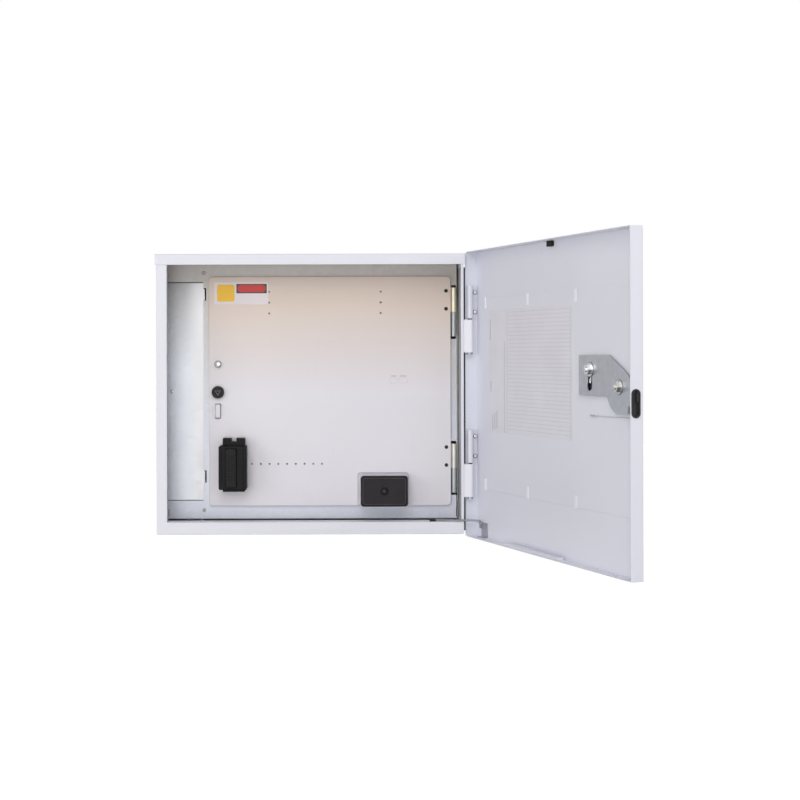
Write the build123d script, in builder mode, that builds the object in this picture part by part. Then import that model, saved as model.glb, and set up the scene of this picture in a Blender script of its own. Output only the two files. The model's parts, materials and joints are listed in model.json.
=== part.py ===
from build123d import *
import os
from math import atan2, cos, degrees, hypot, radians, sin

# A wall-mounted electricity meter box with its door open, in millimetres.
# X runs to the right, Y runs into the wall and Z runs up, as seen from the front.
# The origin is on the back face, at the centre of the four wall fixings.

# Case
box_width = 650
box_height = 593
box_depth = 225
sheet = 1.5
bend = 2.5
jamb_width = 22.4
hinge_jamb_width = 6
sill_height = 26
head_height = 21
jamb_return = 24
sill_return = 38
fixing_inset_x = 75
fixing_inset_z = 76.5
fixing_hole = 9
entry_hole = 33
entry_inset = 47
entry_from_back = 62
knockout_ring = 25
ring_depth = 0.5

# Roof cap
roof_overhang = 3
roof_lip = 22.5

# Inner frame, duct and rails
recess = 97
frame_gap = 0.5
frame_foot = 23.5
frame_head = 3
window_from_left = 116.5
window_from_right = 35
window_from_bottom = 64.5
window_from_top = 56.5
duct_width = 87.5
duct_window_from_left = 35
duct_window_gap = 2.5
duct_window_inset = 8
rail_leg = 10
rail_wall_leg = 22
rail_groove = 4.1
rail_groove_depth = 14
partition_foot = 14
cable_way_rise = 40
cable_way_height = 100
ear_width = 10
ear_height = 22

# Duct cover
cover_sheet = 1
cover_from_left = 9
cover_past_partition = 6
cover_screw_inset = 16.5
cover_slot_width = 4.2
cover_slot_height = 26
cover_slot_inset = 38
cover_slot_lift = 12.7
tab_clearance = 1

# Hinged meter panel
panel_from_left = 105.5
panel_from_right = 19.5
panel_from_bottom = 52.1
panel_from_top = 43.5
panel_thickness = 9
panel_corner = 9
panel_edge = 1
panel_hole = 3.2
meter_hole_columns = (131.1, 373.2)
meter_hole_drop = 33
meter_hole_pitch = 23.3
hole_row_start = 93.1
hole_row_rise = 91
hole_row_pitch = 19
label_inset = 12
label_width = 117.5
label_height = 48
label_thickness = 0.3

# Lift-off hinges of the panel
panel_pin_inset = 12
panel_pin_from_panel = 6
panel_knuckle = 11
panel_pin = 6
panel_half = 53
panel_hinge_drop = 77.5
panel_hinge_rise = 80.6
leaf = 2
hinge_gap = 0.5
pin_clearance = 0.05
hinge_notch_margin = 5
panel_screw_inset = 10
panel_screw_spacing = 39
panel_screw_head = 8
panel_screw = 4

# Door
door_opening = 107.8
door_pin_out = 14
door_pin_depth = 8
door_sheet = 1.5
door_flange = 25
door_hinge_flange = 28.5
door_face_offset = 22
door_hinge_edge = 11.5
door_over_left = 7
door_over_top = 4.5
door_over_bottom = 7
door_bend = 2
drain_length = 28
drain_width = 5
drain_inset = 80
seal_thickness = 4.8
seal_width = 5
seal_from_front = 18.5
seal_margin = 6

# Lift-off hinges of the door
door_knuckle = 11.6
door_pin = 7
door_half = 69.5
door_hinge_drop = 138.5
door_hinge_rise = 148.9
door_washer = 2.6
door_pin_head = 4
door_leaf = 2
door_leaf_reach = 20
door_screw_from_axis = 15
door_screw_spacing = 42
door_screw_head = 9.5
door_screw = 5

# Door liner, record card, bumper and drip strip
liner_sheet = 0.8
liner_start = 40
liner_from_edge = 31
liner_rise = 103.5
liner_drop = 99.5
clip_first = 33
clip_width = 8
clip_height = 24
clip_lap = 22
card_thickness = 0.3
card_inset = 12
card_width = 370
card_height = 254
card_drop = 26.5
bumper_width = 22
bumper_height = 11
bumper_out = 5
drip_start = 160
drip_length = 237
drip_width = 12
drip_height = 5

# Latch
latch_sheet = 2
latch_standoff = 5
pivot_from_edge = 67
pivot_height = 25.5
guide_from_pivot = 104
guide_height = 55
stud_size = 8
guide_bush = 13.6
guide_base = 20
pivot_base = 14
stud_clearance = 0.05
nut_flats = 17
nut_height = 7
washer_size = 25
washer_thickness = 1.5
latch_turn = 17
plate_past_guide = 43
plate_top = 81
plate_shelf = 8.5
plate_shoulder = 38
plate_toe = 22
plate_toe_rise = 25
plate_heel = 10
plate_waist = 31
plate_corner = 5
plate_round = 8
thumb_lip = 5
hook_width = 14
hook_top = -6
hook_reach = 10.5
hook_nose = 15
hook_setback = 6
hook_clearance = 1.2
hook_drop = 12
thumb_height = 17
thumb_top = 18
thumb_length = 5.5
thumb_width = 4
thumb_drop = 2.4
shield_thickness = 1.2
shield_low = -26
shield_high = 31
bezel_length = 49.5
bezel_width = 16.8
bezel_rim = 2
bezel_wall = 2.2
bezel_height = -1.2
bezel_out = 7.2
bezel_fit = 0.4
bezel_lip = 1.4
wire_size = 1.8
wire_height = -28
wire_length = 150
wire_clip = 26

# Door stay
stay_across = 22
stay_off_axis = 13
stay_length = 106
stay_swing_back = 8.6
stay_wire = 4
stay_clearance = 0.5
stay_boot = 13
stay_boot_size = 6
bracket_width = 29

# Quarter-turn lock, sealing bolt and hasp
lock_inset = 19.5
lock_z = 2.4
knob_size = 27
knob_height = 9
lock_shaft = 12
cam_length = 22
cam_width = 12
cam_thickness = 3
cam_gap = 1.5
bolt_z = 63.3
bolt_flats = 13
bolt_size = 8
hasp_z = -38.5
hasp_height = 30
hasp_width = 10
hasp_reach = 8
hasp_clearance = 1.2
tongue_reach = 20

# Fuse holder
fuse_from_left = 53
fuse_from_bottom = 85.4
fuse_width = 60
fuse_height = 94
fuse_depth = 47
carrier_width = 23
carrier_offset = -3.5
carrier_height = 82
carrier_depth = 36
carrier_proud = 6
carrier_clearance = 0.5
blade_width = 12
blade_thickness = 2
blade_length = 8
blade_spacing = 54
well_margin = 2
head_left = 22
head_right = 26
head_rise = 16
head_lap = 6
head_depth_share = 0.62
notch_left = 3.6
notch_right = 7.4
notch_floor = 8
foot_right = 24.9
foot_drop = 5.3
foot_lap = 4
rib_inset = 6
rib_width = 2
rib_depth = 1.2
grip_pitch = 6
grip_grooves = 9
grip_groove = 1.6
stud_behind = 24
stud_nut = 14
stud_nut_height = 6

# Neutral link
link_from_right = 147
link_from_bottom = 34.9
link_width = 104
link_height = 69
link_depth = 46
link_wall = 2.5
link_plate = 4
link_plate_margin = 2.5
link_screw_pitch = 12
link_post_width = 10
link_post_height = 16
link_post_out = 10
link_boss = 10
link_bar_height = 10
link_bar_out = 9
link_bar_notch = 4
link_screw_size = 7
link_screw_slot = 1
link_corner = 8
link_edge = 4
link_cover_boss = 18

# Sizes that follow from the ones above
left = -box_width / 2
right = box_width / 2
bottom = -box_height / 2
top = box_height / 2
shell_top = top - sheet
front = box_depth
fixing_spacing_x = box_width - 2 * fixing_inset_x
fixing_spacing_z = box_height - 2 * fixing_inset_z
opening_left = left + jamb_width
opening_right = right - hinge_jamb_width
opening_low = bottom + sill_height
opening_high = shell_top - head_height
inner_left = left + sheet
inner_right = right - sheet
floor = bottom + sheet
ceiling = shell_top - sheet
frame_front = front - recess
frame_back = frame_front - sheet
frame_right = inner_right - rail_groove
window_left = left + window_from_left
window_right = right - window_from_right
window_low = bottom + window_from_bottom
window_high = top - window_from_top
partition_x = left + duct_width
duct_window_left = left + duct_window_from_left
duct_window_right = partition_x - duct_window_gap
cover_left = left + cover_from_left
cover_right = partition_x + cover_past_partition
cover_middle = (window_low + window_high) / 2
cover_slot_middle = cover_middle + cover_slot_lift
cover_slot_rise = (window_high - window_low) / 2 - cover_slot_inset
cover_screw_x = cover_left + cover_screw_inset
panel_left = left + panel_from_left
panel_right = right - panel_from_right
panel_low = bottom + panel_from_bottom
panel_high = top - panel_from_top
panel_front = frame_front + panel_thickness
panel_pin_out = panel_front - panel_pin_from_panel
panel_pin_x = right - panel_pin_inset
panel_screw_x = panel_right - panel_screw_inset
panel_hinge_upper = panel_high - panel_hinge_drop
panel_hinge_lower = panel_low + panel_hinge_rise
lock_x = panel_left + lock_inset
fuse_x = panel_left + fuse_from_left
fuse_z = panel_low + fuse_from_bottom
link_x = panel_right - link_from_right
link_z = panel_low + link_from_bottom
door_pin_x = right + door_pin_out
door_free_edge = door_pin_x - left + door_over_left
door_top = top + door_over_top
door_bottom = bottom - door_over_bottom
door_hinge_upper = top - door_hinge_drop
door_hinge_lower = bottom + door_hinge_rise
skin_inner = door_sheet - door_face_offset
liner_face = skin_inner + liner_sheet
liner_end = door_free_edge - liner_from_edge
liner_low = door_bottom + liner_rise
liner_high = door_top - liner_drop
clip_pitch = (liner_end - liner_start) / 3
card_start = liner_start + card_inset
card_high = liner_high - card_drop
pivot_across = door_free_edge - pivot_from_edge
guide_across = pivot_across - guide_from_pivot
plate_low = skin_inner + latch_standoff
plate_high = plate_low + latch_sheet
slit = guide_bush + 4 * stud_clearance
stay_height = opening_low + stay_clearance + stay_boot_size / 2

# The door stands open at rest, so its pieces are drawn on planes that turn about the hinge axis.
turn = radians(door_opening)
across = Vector(-cos(turn), -sin(turn), 0)
inward = Vector(-sin(turn), cos(turn), 0)
door_axis = Vector(door_pin_x, door_pin_depth - front, 0)

os.makedirs("parts", exist_ok=True)


def door_face(depth):
    """Plane along the door: x to the free edge, y up, and depth counted inward from the axis."""
    return Plane(origin=door_axis + inward * depth, x_dir=across, z_dir=inward)


def door_plan(height):
    """Level plane at a height: x to the free edge, y outward from the hinge axis."""
    return Plane(origin=door_axis + Vector(0, 0, height), x_dir=across, z_dir=(0, 0, 1))


def door_edge(reach):
    """Upright plane square to the door at a reach from the axis: x outward, y up."""
    return Plane(origin=door_axis + across * reach, x_dir=inward * -1, z_dir=across)


def patch(x0, x1, y0, y1, mode=Mode.ADD):
    """Rectangle between two corners."""
    with Locations(((x0 + x1) / 2, (y0 + y1) / 2)):
        Rectangle(x1 - x0, y1 - y0, mode=mode)


def soft_patch(x0, x1, y0, y1, radius, mode=Mode.ADD):
    """Rectangle between two corners with rounded corners."""
    with Locations(((x0 + x1) / 2, (y0 + y1) / 2)):
        RectangleRounded(x1 - x0, y1 - y0, radius, mode=mode)


# Case: one folded and welded sheet shell with flanged front edges.
latch_slot_out = front - door_pin_depth - plate_high - hook_reach
with BuildPart() as box_shell:
    with BuildSketch(Plane.XZ):
        soft_patch(left, right, bottom, shell_top, bend)
    extrude(amount=front)
    fillet(box_shell.faces().sort_by(Axis.Y)[0].edges(), bend / 2)
    with BuildSketch(Plane.XZ.offset(sheet)):
        patch(inner_left, inner_right, floor, ceiling)
    extrude(amount=front - 2 * sheet, mode=Mode.SUBTRACT)
    with BuildSketch(Plane.XZ.offset(front - sheet)):
        patch(opening_left, opening_right, opening_low, opening_high)
    extrude(amount=sheet, mode=Mode.SUBTRACT)
    # Returns folded back from the latch jamb and the sill.
    with BuildSketch(Plane.XZ.offset(front - jamb_return)):
        patch(opening_left - sheet, opening_left, opening_low - sheet, opening_high)
    extrude(amount=jamb_return)
    with BuildSketch(Plane.XZ.offset(front - sill_return)):
        patch(opening_left - sheet, inner_right, opening_low - sheet, opening_low)
    extrude(amount=sill_return)
    # Slot in the jamb return that the latch hook enters.
    with BuildSketch(Plane.YZ.offset(opening_left - 2 * sheet)):
        patch(
            -latch_slot_out - latch_sheet - hook_clearance,
            -latch_slot_out + hook_clearance,
            hook_top - hook_width - hook_drop - hook_clearance,
            hook_top + hook_clearance,
        )
    extrude(amount=3 * sheet, mode=Mode.SUBTRACT)
    # Four wall fixing holes through the back.
    with BuildSketch(Plane.XZ):
        with GridLocations(fixing_spacing_x, fixing_spacing_z, 2, 2):
            Circle(fixing_hole / 2)
    extrude(amount=sheet, mode=Mode.SUBTRACT)
    # Conduit entry in the floor of the cable duct, and a knock-out ring beside it.
    with BuildSketch(Plane.XY.offset(bottom)):
        with Locations((left + entry_inset, -entry_from_back)):
            Circle(entry_hole / 2)
    extrude(amount=sheet, mode=Mode.SUBTRACT)
    with BuildSketch(Plane.XY.offset(bottom)):
        with Locations((right - 3 * entry_inset, -entry_from_back)):
            Circle(knockout_ring / 2)
            Circle(knockout_ring / 2 - sheet, mode=Mode.SUBTRACT)
    extrude(amount=ring_depth, mode=Mode.SUBTRACT)
    # Screw holes for the two door hinge blocks.
    with BuildSketch(Plane.YZ.offset(inner_right)):
        for seat in (door_hinge_upper, door_hinge_lower):
            for step in (1, 3):
                with Locations((door_pin_depth - front, seat - door_washer / 2 - door_half * step / 4)):
                    Circle(door_screw / 2 + stud_clearance)
    extrude(amount=sheet, mode=Mode.SUBTRACT)
box_shell.part.label = "box_shell"
export_step(box_shell.part, "parts/box_shell.step")

# Roof cap: a folded sheet that overhangs both sides and laps over the front.
with BuildPart() as roof_cap:
    with BuildSketch(Plane.XZ):
        patch(left - roof_overhang, right + roof_overhang, top - roof_lip, top)
    extrude(amount=front + sheet)
    roof_fold = roof_cap.edges().filter_by(Axis.X).group_by(Axis.Z)[-1].sort_by(Axis.Y)[0]
    fillet(roof_fold, bend)
    with BuildSketch(Plane.XZ):
        patch(left - roof_overhang - sheet, right + roof_overhang + sheet, top - roof_lip - sheet, shell_top)
    extrude(amount=front, mode=Mode.SUBTRACT)
    # Side lips, slightly longer at the front.
    for side in (left - roof_overhang, right + roof_overhang - sheet):
        with BuildSketch(Plane.YZ.offset(side)):
            with BuildLine():
                Polyline(
                    (0, shell_top),
                    (-front, shell_top),
                    (-front, top - roof_lip),
                    (-front + roof_lip, top - roof_lip / 2),
                    (0, top - roof_lip / 2),
                    close=True,
                )
            make_face()
        extrude(amount=sheet)
roof_cap.part.label = "roof_cap"
export_step(roof_cap.part, "parts/roof_cap.step")

# Inner frame: one sheet with a window for the meters, a duct window and hinge notches.
notch_reach = panel_half + hinge_gap + hinge_notch_margin
frame_low = bottom + frame_foot
frame_high = ceiling - frame_head
with BuildPart() as inner_frame:
    with BuildSketch(Plane.XZ.offset(frame_back)):
        patch(inner_left + frame_gap, frame_right, frame_low, frame_high)
        patch(window_left, window_right, window_low, window_high, mode=Mode.SUBTRACT)
        patch(
            duct_window_left,
            duct_window_right,
            window_low + duct_window_inset,
            window_high - duct_window_inset,
            mode=Mode.SUBTRACT,
        )
        for seat in (panel_hinge_upper, panel_hinge_lower):
            patch(
                window_right - sheet,
                frame_right - sheet,
                seat - notch_reach,
                seat + notch_reach,
                mode=Mode.SUBTRACT,
            )
        # Slots for the tabs of the duct cover.
        for rise in (cover_slot_rise, -cover_slot_rise):
            patch(
                cover_right + tab_clearance,
                cover_right + tab_clearance + cover_slot_width,
                cover_slot_middle + rise - cover_slot_height / 2,
                cover_slot_middle + rise + cover_slot_height / 2,
                mode=Mode.SUBTRACT,
            )
        # Tongues for the sealing bolt and the hasp.
        soft_patch(
            window_left - sheet,
            window_left + tongue_reach,
            bolt_z - bolt_flats,
            bolt_z + bolt_flats,
            sheet,
        )
        soft_patch(
            window_left - sheet,
            window_left + tongue_reach,
            hasp_z - hasp_height * 0.7,
            hasp_z + hasp_height * 0.7,
            sheet,
        )
        patch(
            lock_x - hasp_width / 2 - stud_clearance,
            lock_x + hasp_width / 2 + stud_clearance,
            hasp_z - hasp_height / 2 - stud_clearance,
            hasp_z + hasp_height / 2 + stud_clearance,
            mode=Mode.SUBTRACT,
        )
        with Locations((lock_x, bolt_z)):
            Circle(bolt_size / 2 + frame_gap, mode=Mode.SUBTRACT)
        ear_x = partition_x + sheet + ear_width / 2
        with Locations((ear_x, window_high + ear_height), (ear_x, window_low - ear_height)):
            Circle(panel_screw / 2 + stud_clearance, mode=Mode.SUBTRACT)
        with Locations((cover_screw_x, cover_middle)):
            Circle(panel_screw / 2 + stud_clearance, mode=Mode.SUBTRACT)
    extrude(amount=sheet)
    # Stiffening fold along the bottom edge.
    with BuildSketch(Plane.XZ.offset(frame_back - rail_leg)):
        patch(partition_x + partition_foot, window_right, frame_low, frame_low + sheet)
    extrude(amount=rail_leg)
inner_frame.part.label = "inner_frame"
export_step(inner_frame.part, "parts/inner_frame.step")

# Rails: folded angles welded to the side walls, behind the frame.
with BuildPart() as frame_rail_left:
    with BuildSketch(Plane.XY.offset(frame_low)):
        patch(inner_left, inner_left + rail_leg, -frame_back, -frame_back + sheet)
        patch(inner_left, inner_left + sheet, -frame_back, -frame_back + rail_wall_leg)
    extrude(amount=frame_high - frame_low)
frame_rail_left.part.label = "frame_rail_left"
export_step(frame_rail_left.part, "parts/frame_rail_left.step")

# The right rail is a folded step, so a deep groove stays open between frame and wall.
rail_step = -frame_back + rail_groove_depth
with BuildPart() as frame_rail_right:
    with BuildSketch(Plane.XY.offset(frame_low)):
        patch(frame_right - rail_leg, frame_right, -frame_back, -frame_back + sheet)
        patch(frame_right - sheet, frame_right, -frame_back, rail_step + sheet)
        patch(frame_right - sheet, inner_right, rail_step, rail_step + sheet)
        patch(inner_right - sheet, inner_right, rail_step, rail_step + rail_wall_leg)
    extrude(amount=frame_high - frame_low)
    with BuildSketch(Plane.XZ.offset(frame_back - sheet)):
        for seat in (panel_hinge_upper, panel_hinge_lower):
            patch(frame_right - 2 * rail_leg, frame_right - sheet, seat - notch_reach, seat + notch_reach)
    extrude(amount=2 * sheet, mode=Mode.SUBTRACT)
frame_rail_right.part.label = "frame_rail_right"
export_step(frame_rail_right.part, "parts/frame_rail_right.step")

# Partition between the cable duct and the meter space, with a cable way low down.
with BuildPart() as duct_partition:
    with BuildSketch(Plane.XY.offset(floor)):
        patch(partition_x, partition_x + sheet, -frame_back, -sheet)
        patch(partition_x, partition_x + partition_foot, -2 * sheet, -sheet)
    extrude(amount=ceiling - floor)
    with BuildSketch(Plane.YZ.offset(partition_x)):
        soft_patch(
            -frame_back * 0.8,
            -frame_back * 0.2,
            floor + cable_way_rise,
            floor + cable_way_rise + cable_way_height,
            bend,
        )
    extrude(amount=sheet, mode=Mode.SUBTRACT)
    for seat in (window_high + ear_height, window_low - ear_height):
        with BuildSketch(Plane.XZ.offset(frame_back - sheet)):
            patch(partition_x, partition_x + sheet + ear_width, seat - ear_height / 2, seat + ear_height / 2)
            with Locations((ear_x, seat)):
                Circle(panel_screw / 2 + stud_clearance, mode=Mode.SUBTRACT)
        extrude(amount=sheet)
duct_partition.part.label = "duct_partition"
export_step(duct_partition.part, "parts/duct_partition.step")

# Duct cover: a galvanised plate with two joggled tabs at its right edge.
with BuildPart() as duct_cover:
    with BuildSketch(Plane.XZ.offset(frame_front)):
        soft_patch(cover_left, cover_right, window_low, window_high, bend)
        with Locations((cover_screw_x, cover_middle)):
            Circle(panel_screw / 2 + stud_clearance, mode=Mode.SUBTRACT)
    extrude(amount=cover_sheet)
    for rise in (cover_slot_rise, -cover_slot_rise):
        tab_low = cover_slot_middle + rise - cover_slot_height / 2 + tab_clearance
        with BuildSketch(Plane.XY.offset(tab_low)):
            with BuildLine():
                Polyline(
                    (cover_right - bend, -frame_front),
                    (cover_right - bend, -frame_front - cover_sheet),
                    (cover_right + 2.5 * tab_clearance, -frame_front - cover_sheet),
                    (cover_right + 2.5 * tab_clearance, -frame_back),
                    (cover_right + 3 * cover_slot_width, -frame_back),
                    (cover_right + 3 * cover_slot_width, -frame_back + cover_sheet),
                    (cover_right + 1.5 * tab_clearance, -frame_back + cover_sheet),
                    (cover_right + 1.5 * tab_clearance, -frame_front),
                    close=True,
                )
            make_face()
        extrude(amount=cover_slot_height - 2 * tab_clearance)
duct_cover.part.label = "duct_cover"
export_step(duct_cover.part, "parts/duct_cover.step")


def pan_screw(plane, size, head, length):
    """Pan-head screw whose seat is on the plane, head along its normal, with a cross recess."""
    with BuildPart() as screw:
        with BuildSketch(plane):
            Circle(head / 2)
        extrude(amount=head * 0.32)
        fillet(screw.edges().filter_by(GeomType.CIRCLE).group_by(plane_axis(plane))[-1], head * 0.28)
        with BuildSketch(plane.offset(head * 0.2)):
            Rectangle(head * 0.5, head * 0.12)
            Rectangle(head * 0.12, head * 0.5)
        extrude(amount=head * 0.2, mode=Mode.SUBTRACT)
        with BuildSketch(plane):
            Circle(size / 2)
        extrude(amount=-length)
    return screw.part


def plane_axis(plane):
    """Axis along a plane's normal."""
    return Axis(plane.origin, plane.z_dir)


def shifted(plane, x, y):
    """The same plane with its origin moved within it."""
    return Plane(origin=plane.from_local_coords(Vector(x, y, 0)), x_dir=plane.x_dir, z_dir=plane.z_dir)


# Screw of the duct cover, and the two screws that hold the frame to the partition.
with BuildPart() as duct_cover_screw:
    cover_seat = shifted(Plane.XZ.offset(frame_front + cover_sheet), cover_screw_x, cover_middle)
    add(pan_screw(cover_seat, panel_screw, panel_screw_head, cover_sheet + 4 * sheet))
duct_cover_screw.part.label = "duct_cover_screw"
export_step(duct_cover_screw.part, "parts/duct_cover_screw.step")

with BuildPart() as frame_screws:
    for seat in (window_high + ear_height, window_low - ear_height):
        ear_spot = shifted(Plane.XZ.offset(frame_front), ear_x, seat)
        add(pan_screw(ear_spot, panel_screw, panel_screw_head, 5 * sheet))
frame_screws.part.label = "frame_screws"
export_step(frame_screws.part, "parts/frame_screws.step")

# Hasp: a folded staple that stands through the panel for a seal.
with BuildPart() as seal_hasp:
    hasp_front = panel_front + hasp_reach
    with BuildSketch(Plane.XZ.offset(frame_back - sheet)):
        with Locations((lock_x, hasp_z)):
            Rectangle(hasp_width, hasp_height)
    extrude(amount=hasp_front - frame_back + sheet)
    fillet(seal_hasp.edges().filter_by(Axis.X).group_by(Axis.Y)[0], 3)
    with BuildSketch(Plane.YZ.offset(lock_x - hasp_width)):
        patch(
            -hasp_front + leaf,
            -frame_back - sheet,
            hasp_z - hasp_height / 2 + leaf,
            hasp_z + hasp_height / 2 - leaf,
        )
    extrude(amount=2 * hasp_width, mode=Mode.SUBTRACT)
    with BuildSketch(Plane.XZ.offset(frame_back - sheet)):
        for foot in (hasp_z - hasp_height / 2 - 2, hasp_z + hasp_height / 2 + 2):
            with Locations((lock_x, foot)):
                Rectangle(hasp_width, 8)
    extrude(amount=sheet)
seal_hasp.part.label = "seal_hasp"
export_step(seal_hasp.part, "parts/seal_hasp.step")

# Hinged meter panel: a rounded board, drilled for meters, fuse, link and sealing gear.
panel_face = Plane.XZ.offset(panel_front)
hole_high = panel_high - meter_hole_drop
stud_spacing = blade_spacing
with BuildPart() as meter_panel:
    with BuildSketch(Plane.XZ.offset(frame_front)):
        soft_patch(panel_left, panel_right, panel_low, panel_high, panel_corner)
    extrude(amount=panel_thickness)
    fillet(meter_panel.faces().sort_by(Axis.Y)[0].edges(), panel_edge)
    with BuildSketch(Plane.XZ.offset(frame_front)):
        for column in meter_hole_columns:
            for step in range(3):
                with Locations((panel_left + column, hole_high - step * meter_hole_pitch)):
                    Circle(panel_hole / 2)
        row_left = panel_left + hole_row_start
        for step in range(9):
            with Locations((row_left + step * hole_row_pitch, panel_low + hole_row_rise)):
                Circle(panel_hole / 2)
        for seat in (panel_hinge_upper, panel_hinge_lower):
            for reach in (-panel_screw_spacing / 2, panel_screw_spacing / 2):
                with Locations((panel_screw_x, seat + panel_half / 2 + reach)):
                    Circle(panel_screw / 2 + stud_clearance)
        with Locations((lock_x, lock_z)):
            Circle(lock_shaft / 2 + stud_clearance)
        with Locations((lock_x, bolt_z)):
            Circle(bolt_size / 2 + stud_clearance)
        soft_patch(
            lock_x - hasp_width / 2 - hasp_clearance,
            lock_x + hasp_width / 2 + hasp_clearance,
            hasp_z - hasp_height / 2 - hasp_clearance,
            hasp_z + hasp_height / 2 + hasp_clearance,
            hasp_clearance,
        )
        with Locations((fuse_x + carrier_offset, fuse_z)):
            with GridLocations(1, stud_spacing, 1, 2):
                Circle(panel_screw + stud_clearance)
        with Locations((link_x, link_z)):
            with GridLocations(link_width * 0.78, 1, 2, 1):
                Circle(panel_screw / 2 + stud_clearance)
    extrude(amount=panel_thickness, mode=Mode.SUBTRACT)
meter_panel.part.label = "meter_panel"
export_step(meter_panel.part, "parts/meter_panel.step")

# Plain label on the panel: its fields of colour are left to its finish.
label_left = panel_left + label_inset
label_high = panel_high - label_inset
with BuildPart() as panel_label:
    with BuildSketch(panel_face):
        soft_patch(label_left, label_left + label_width, label_high - label_height, label_high, 2)
    extrude(amount=label_thickness)
panel_label.part.label = "panel_label"
export_step(panel_label.part, "parts/panel_label.step")

# Panel hinges: the upper half of each is screwed to the panel and lifts off the lower half's pin.
panel_axis_y = -panel_pin_out
for end, seat in (("upper", panel_hinge_upper), ("lower", panel_hinge_lower)):
    with BuildPart() as panel_leaf:
        with BuildSketch(Plane.XY.offset(seat + hinge_gap / 2)):
            with Locations((panel_pin_x, panel_axis_y)):
                Circle(panel_knuckle / 2)
            patch(panel_screw_x - 6 * leaf, panel_pin_x - leaf, -frame_front, -frame_front + leaf)
        extrude(amount=panel_half - hinge_gap / 2)
        with BuildSketch(Plane.XY.offset(seat + hinge_gap / 2)):
            with Locations((panel_pin_x, panel_axis_y)):
                Circle(panel_pin / 2 + pin_clearance)
        extrude(amount=panel_half * 0.8, mode=Mode.SUBTRACT)
        with BuildSketch(Plane.XZ.offset(frame_front - leaf)):
            for reach in (-panel_screw_spacing / 2, panel_screw_spacing / 2):
                with Locations((panel_screw_x, seat + panel_half / 2 + reach)):
                    Circle(panel_screw / 2 + stud_clearance)
        extrude(amount=leaf, mode=Mode.SUBTRACT)
    panel_leaf.part.label = "panel_hinge_leaf_" + end
    export_step(panel_leaf.part, "parts/panel_hinge_leaf_" + end + ".step")

    with BuildPart() as frame_leaf:
        with BuildSketch(Plane.XY.offset(seat - panel_half)):
            with Locations((panel_pin_x, panel_axis_y)):
                Circle(panel_knuckle / 2)
            patch(panel_pin_x - leaf, panel_pin_x + leaf, panel_axis_y, -frame_back + leaf)
            patch(panel_pin_x, frame_right - sheet, -frame_back, -frame_back + leaf)
            patch(frame_right - sheet - leaf, frame_right - sheet, -frame_back, rail_step)
        extrude(amount=panel_half - hinge_gap / 2)
        with BuildSketch(Plane.XY.offset(seat - panel_half)):
            with Locations((panel_pin_x, panel_axis_y)):
                Circle(panel_pin / 2 + pin_clearance)
        extrude(amount=panel_half, mode=Mode.SUBTRACT)
    frame_leaf.part.label = "frame_hinge_leaf_" + end
    export_step(frame_leaf.part, "parts/frame_hinge_leaf_" + end + ".step")

    with BuildPart() as panel_hinge_pin:
        with BuildSketch(Plane.XY.offset(seat - panel_half)):
            with Locations((panel_pin_x, panel_axis_y)):
                Circle(panel_pin / 2)
        extrude(amount=panel_half * 1.7)
        chamfer(panel_hinge_pin.edges().group_by(Axis.Z)[-1], 1)
    panel_hinge_pin.part.label = "panel_hinge_pin_" + end
    export_step(panel_hinge_pin.part, "parts/panel_hinge_pin_" + end + ".step")

with BuildPart() as panel_hinge_screws:
    for seat in (panel_hinge_upper, panel_hinge_lower):
        for reach in (-panel_screw_spacing / 2, panel_screw_spacing / 2):
            spot = shifted(panel_face, panel_screw_x, seat + panel_half / 2 + reach)
            add(pan_screw(spot, panel_screw, panel_screw_head, panel_thickness + 2 * leaf))
panel_hinge_screws.part.label = "panel_hinge_screws"
export_step(panel_hinge_screws.part, "parts/panel_hinge_screws.step")

# Quarter-turn lock: a knob with a grip bar, its shaft, and a cam behind the frame.
lock_face = shifted(panel_face, lock_x, lock_z)
cam_front = frame_back - cam_gap
with BuildPart() as lock_knob:
    with BuildSketch(lock_face.offset(card_thickness)):
        Circle(knob_size / 2)
    extrude(amount=knob_height)
    fillet(lock_knob.faces().sort_by(Axis.Y)[0].edges(), 2)
    with BuildSketch(lock_face.offset(knob_height - 2)):
        Circle(knob_size / 2 - 4)
        Rectangle(5, knob_size, mode=Mode.SUBTRACT)
    extrude(amount=knob_height, mode=Mode.SUBTRACT)
    with BuildSketch(lock_face.offset(card_thickness + 1)):
        Circle(lock_shaft / 2)
    extrude(amount=-(panel_front + card_thickness + 1 - cam_front))
lock_knob.part.label = "lock_knob"
export_step(lock_knob.part, "parts/lock_knob.step")

with BuildPart() as lock_cam:
    with BuildSketch(Plane.XZ.offset(cam_front - cam_thickness)):
        with BuildLine():
            Polyline(
                (lock_x + cam_width / 2, lock_z),
                (lock_x + cam_width / 3, lock_z + cam_length),
                (lock_x - cam_width / 3, lock_z + cam_length),
                (lock_x - cam_width / 2, lock_z),
            )
            ThreePointArc(
                (lock_x - cam_width / 2, lock_z),
                (lock_x, lock_z - cam_width / 2),
                (lock_x + cam_width / 2, lock_z),
            )
        make_face()
    extrude(amount=cam_thickness)
    with BuildSketch(shifted(Plane.XZ.offset(cam_front - cam_thickness), lock_x, lock_z)):
        RegularPolygon(bolt_flats / 2, 6, major_radius=False)
    extrude(amount=-cam_thickness)
lock_cam.part.label = "lock_cam"
export_step(lock_cam.part, "parts/lock_cam.step")

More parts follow.
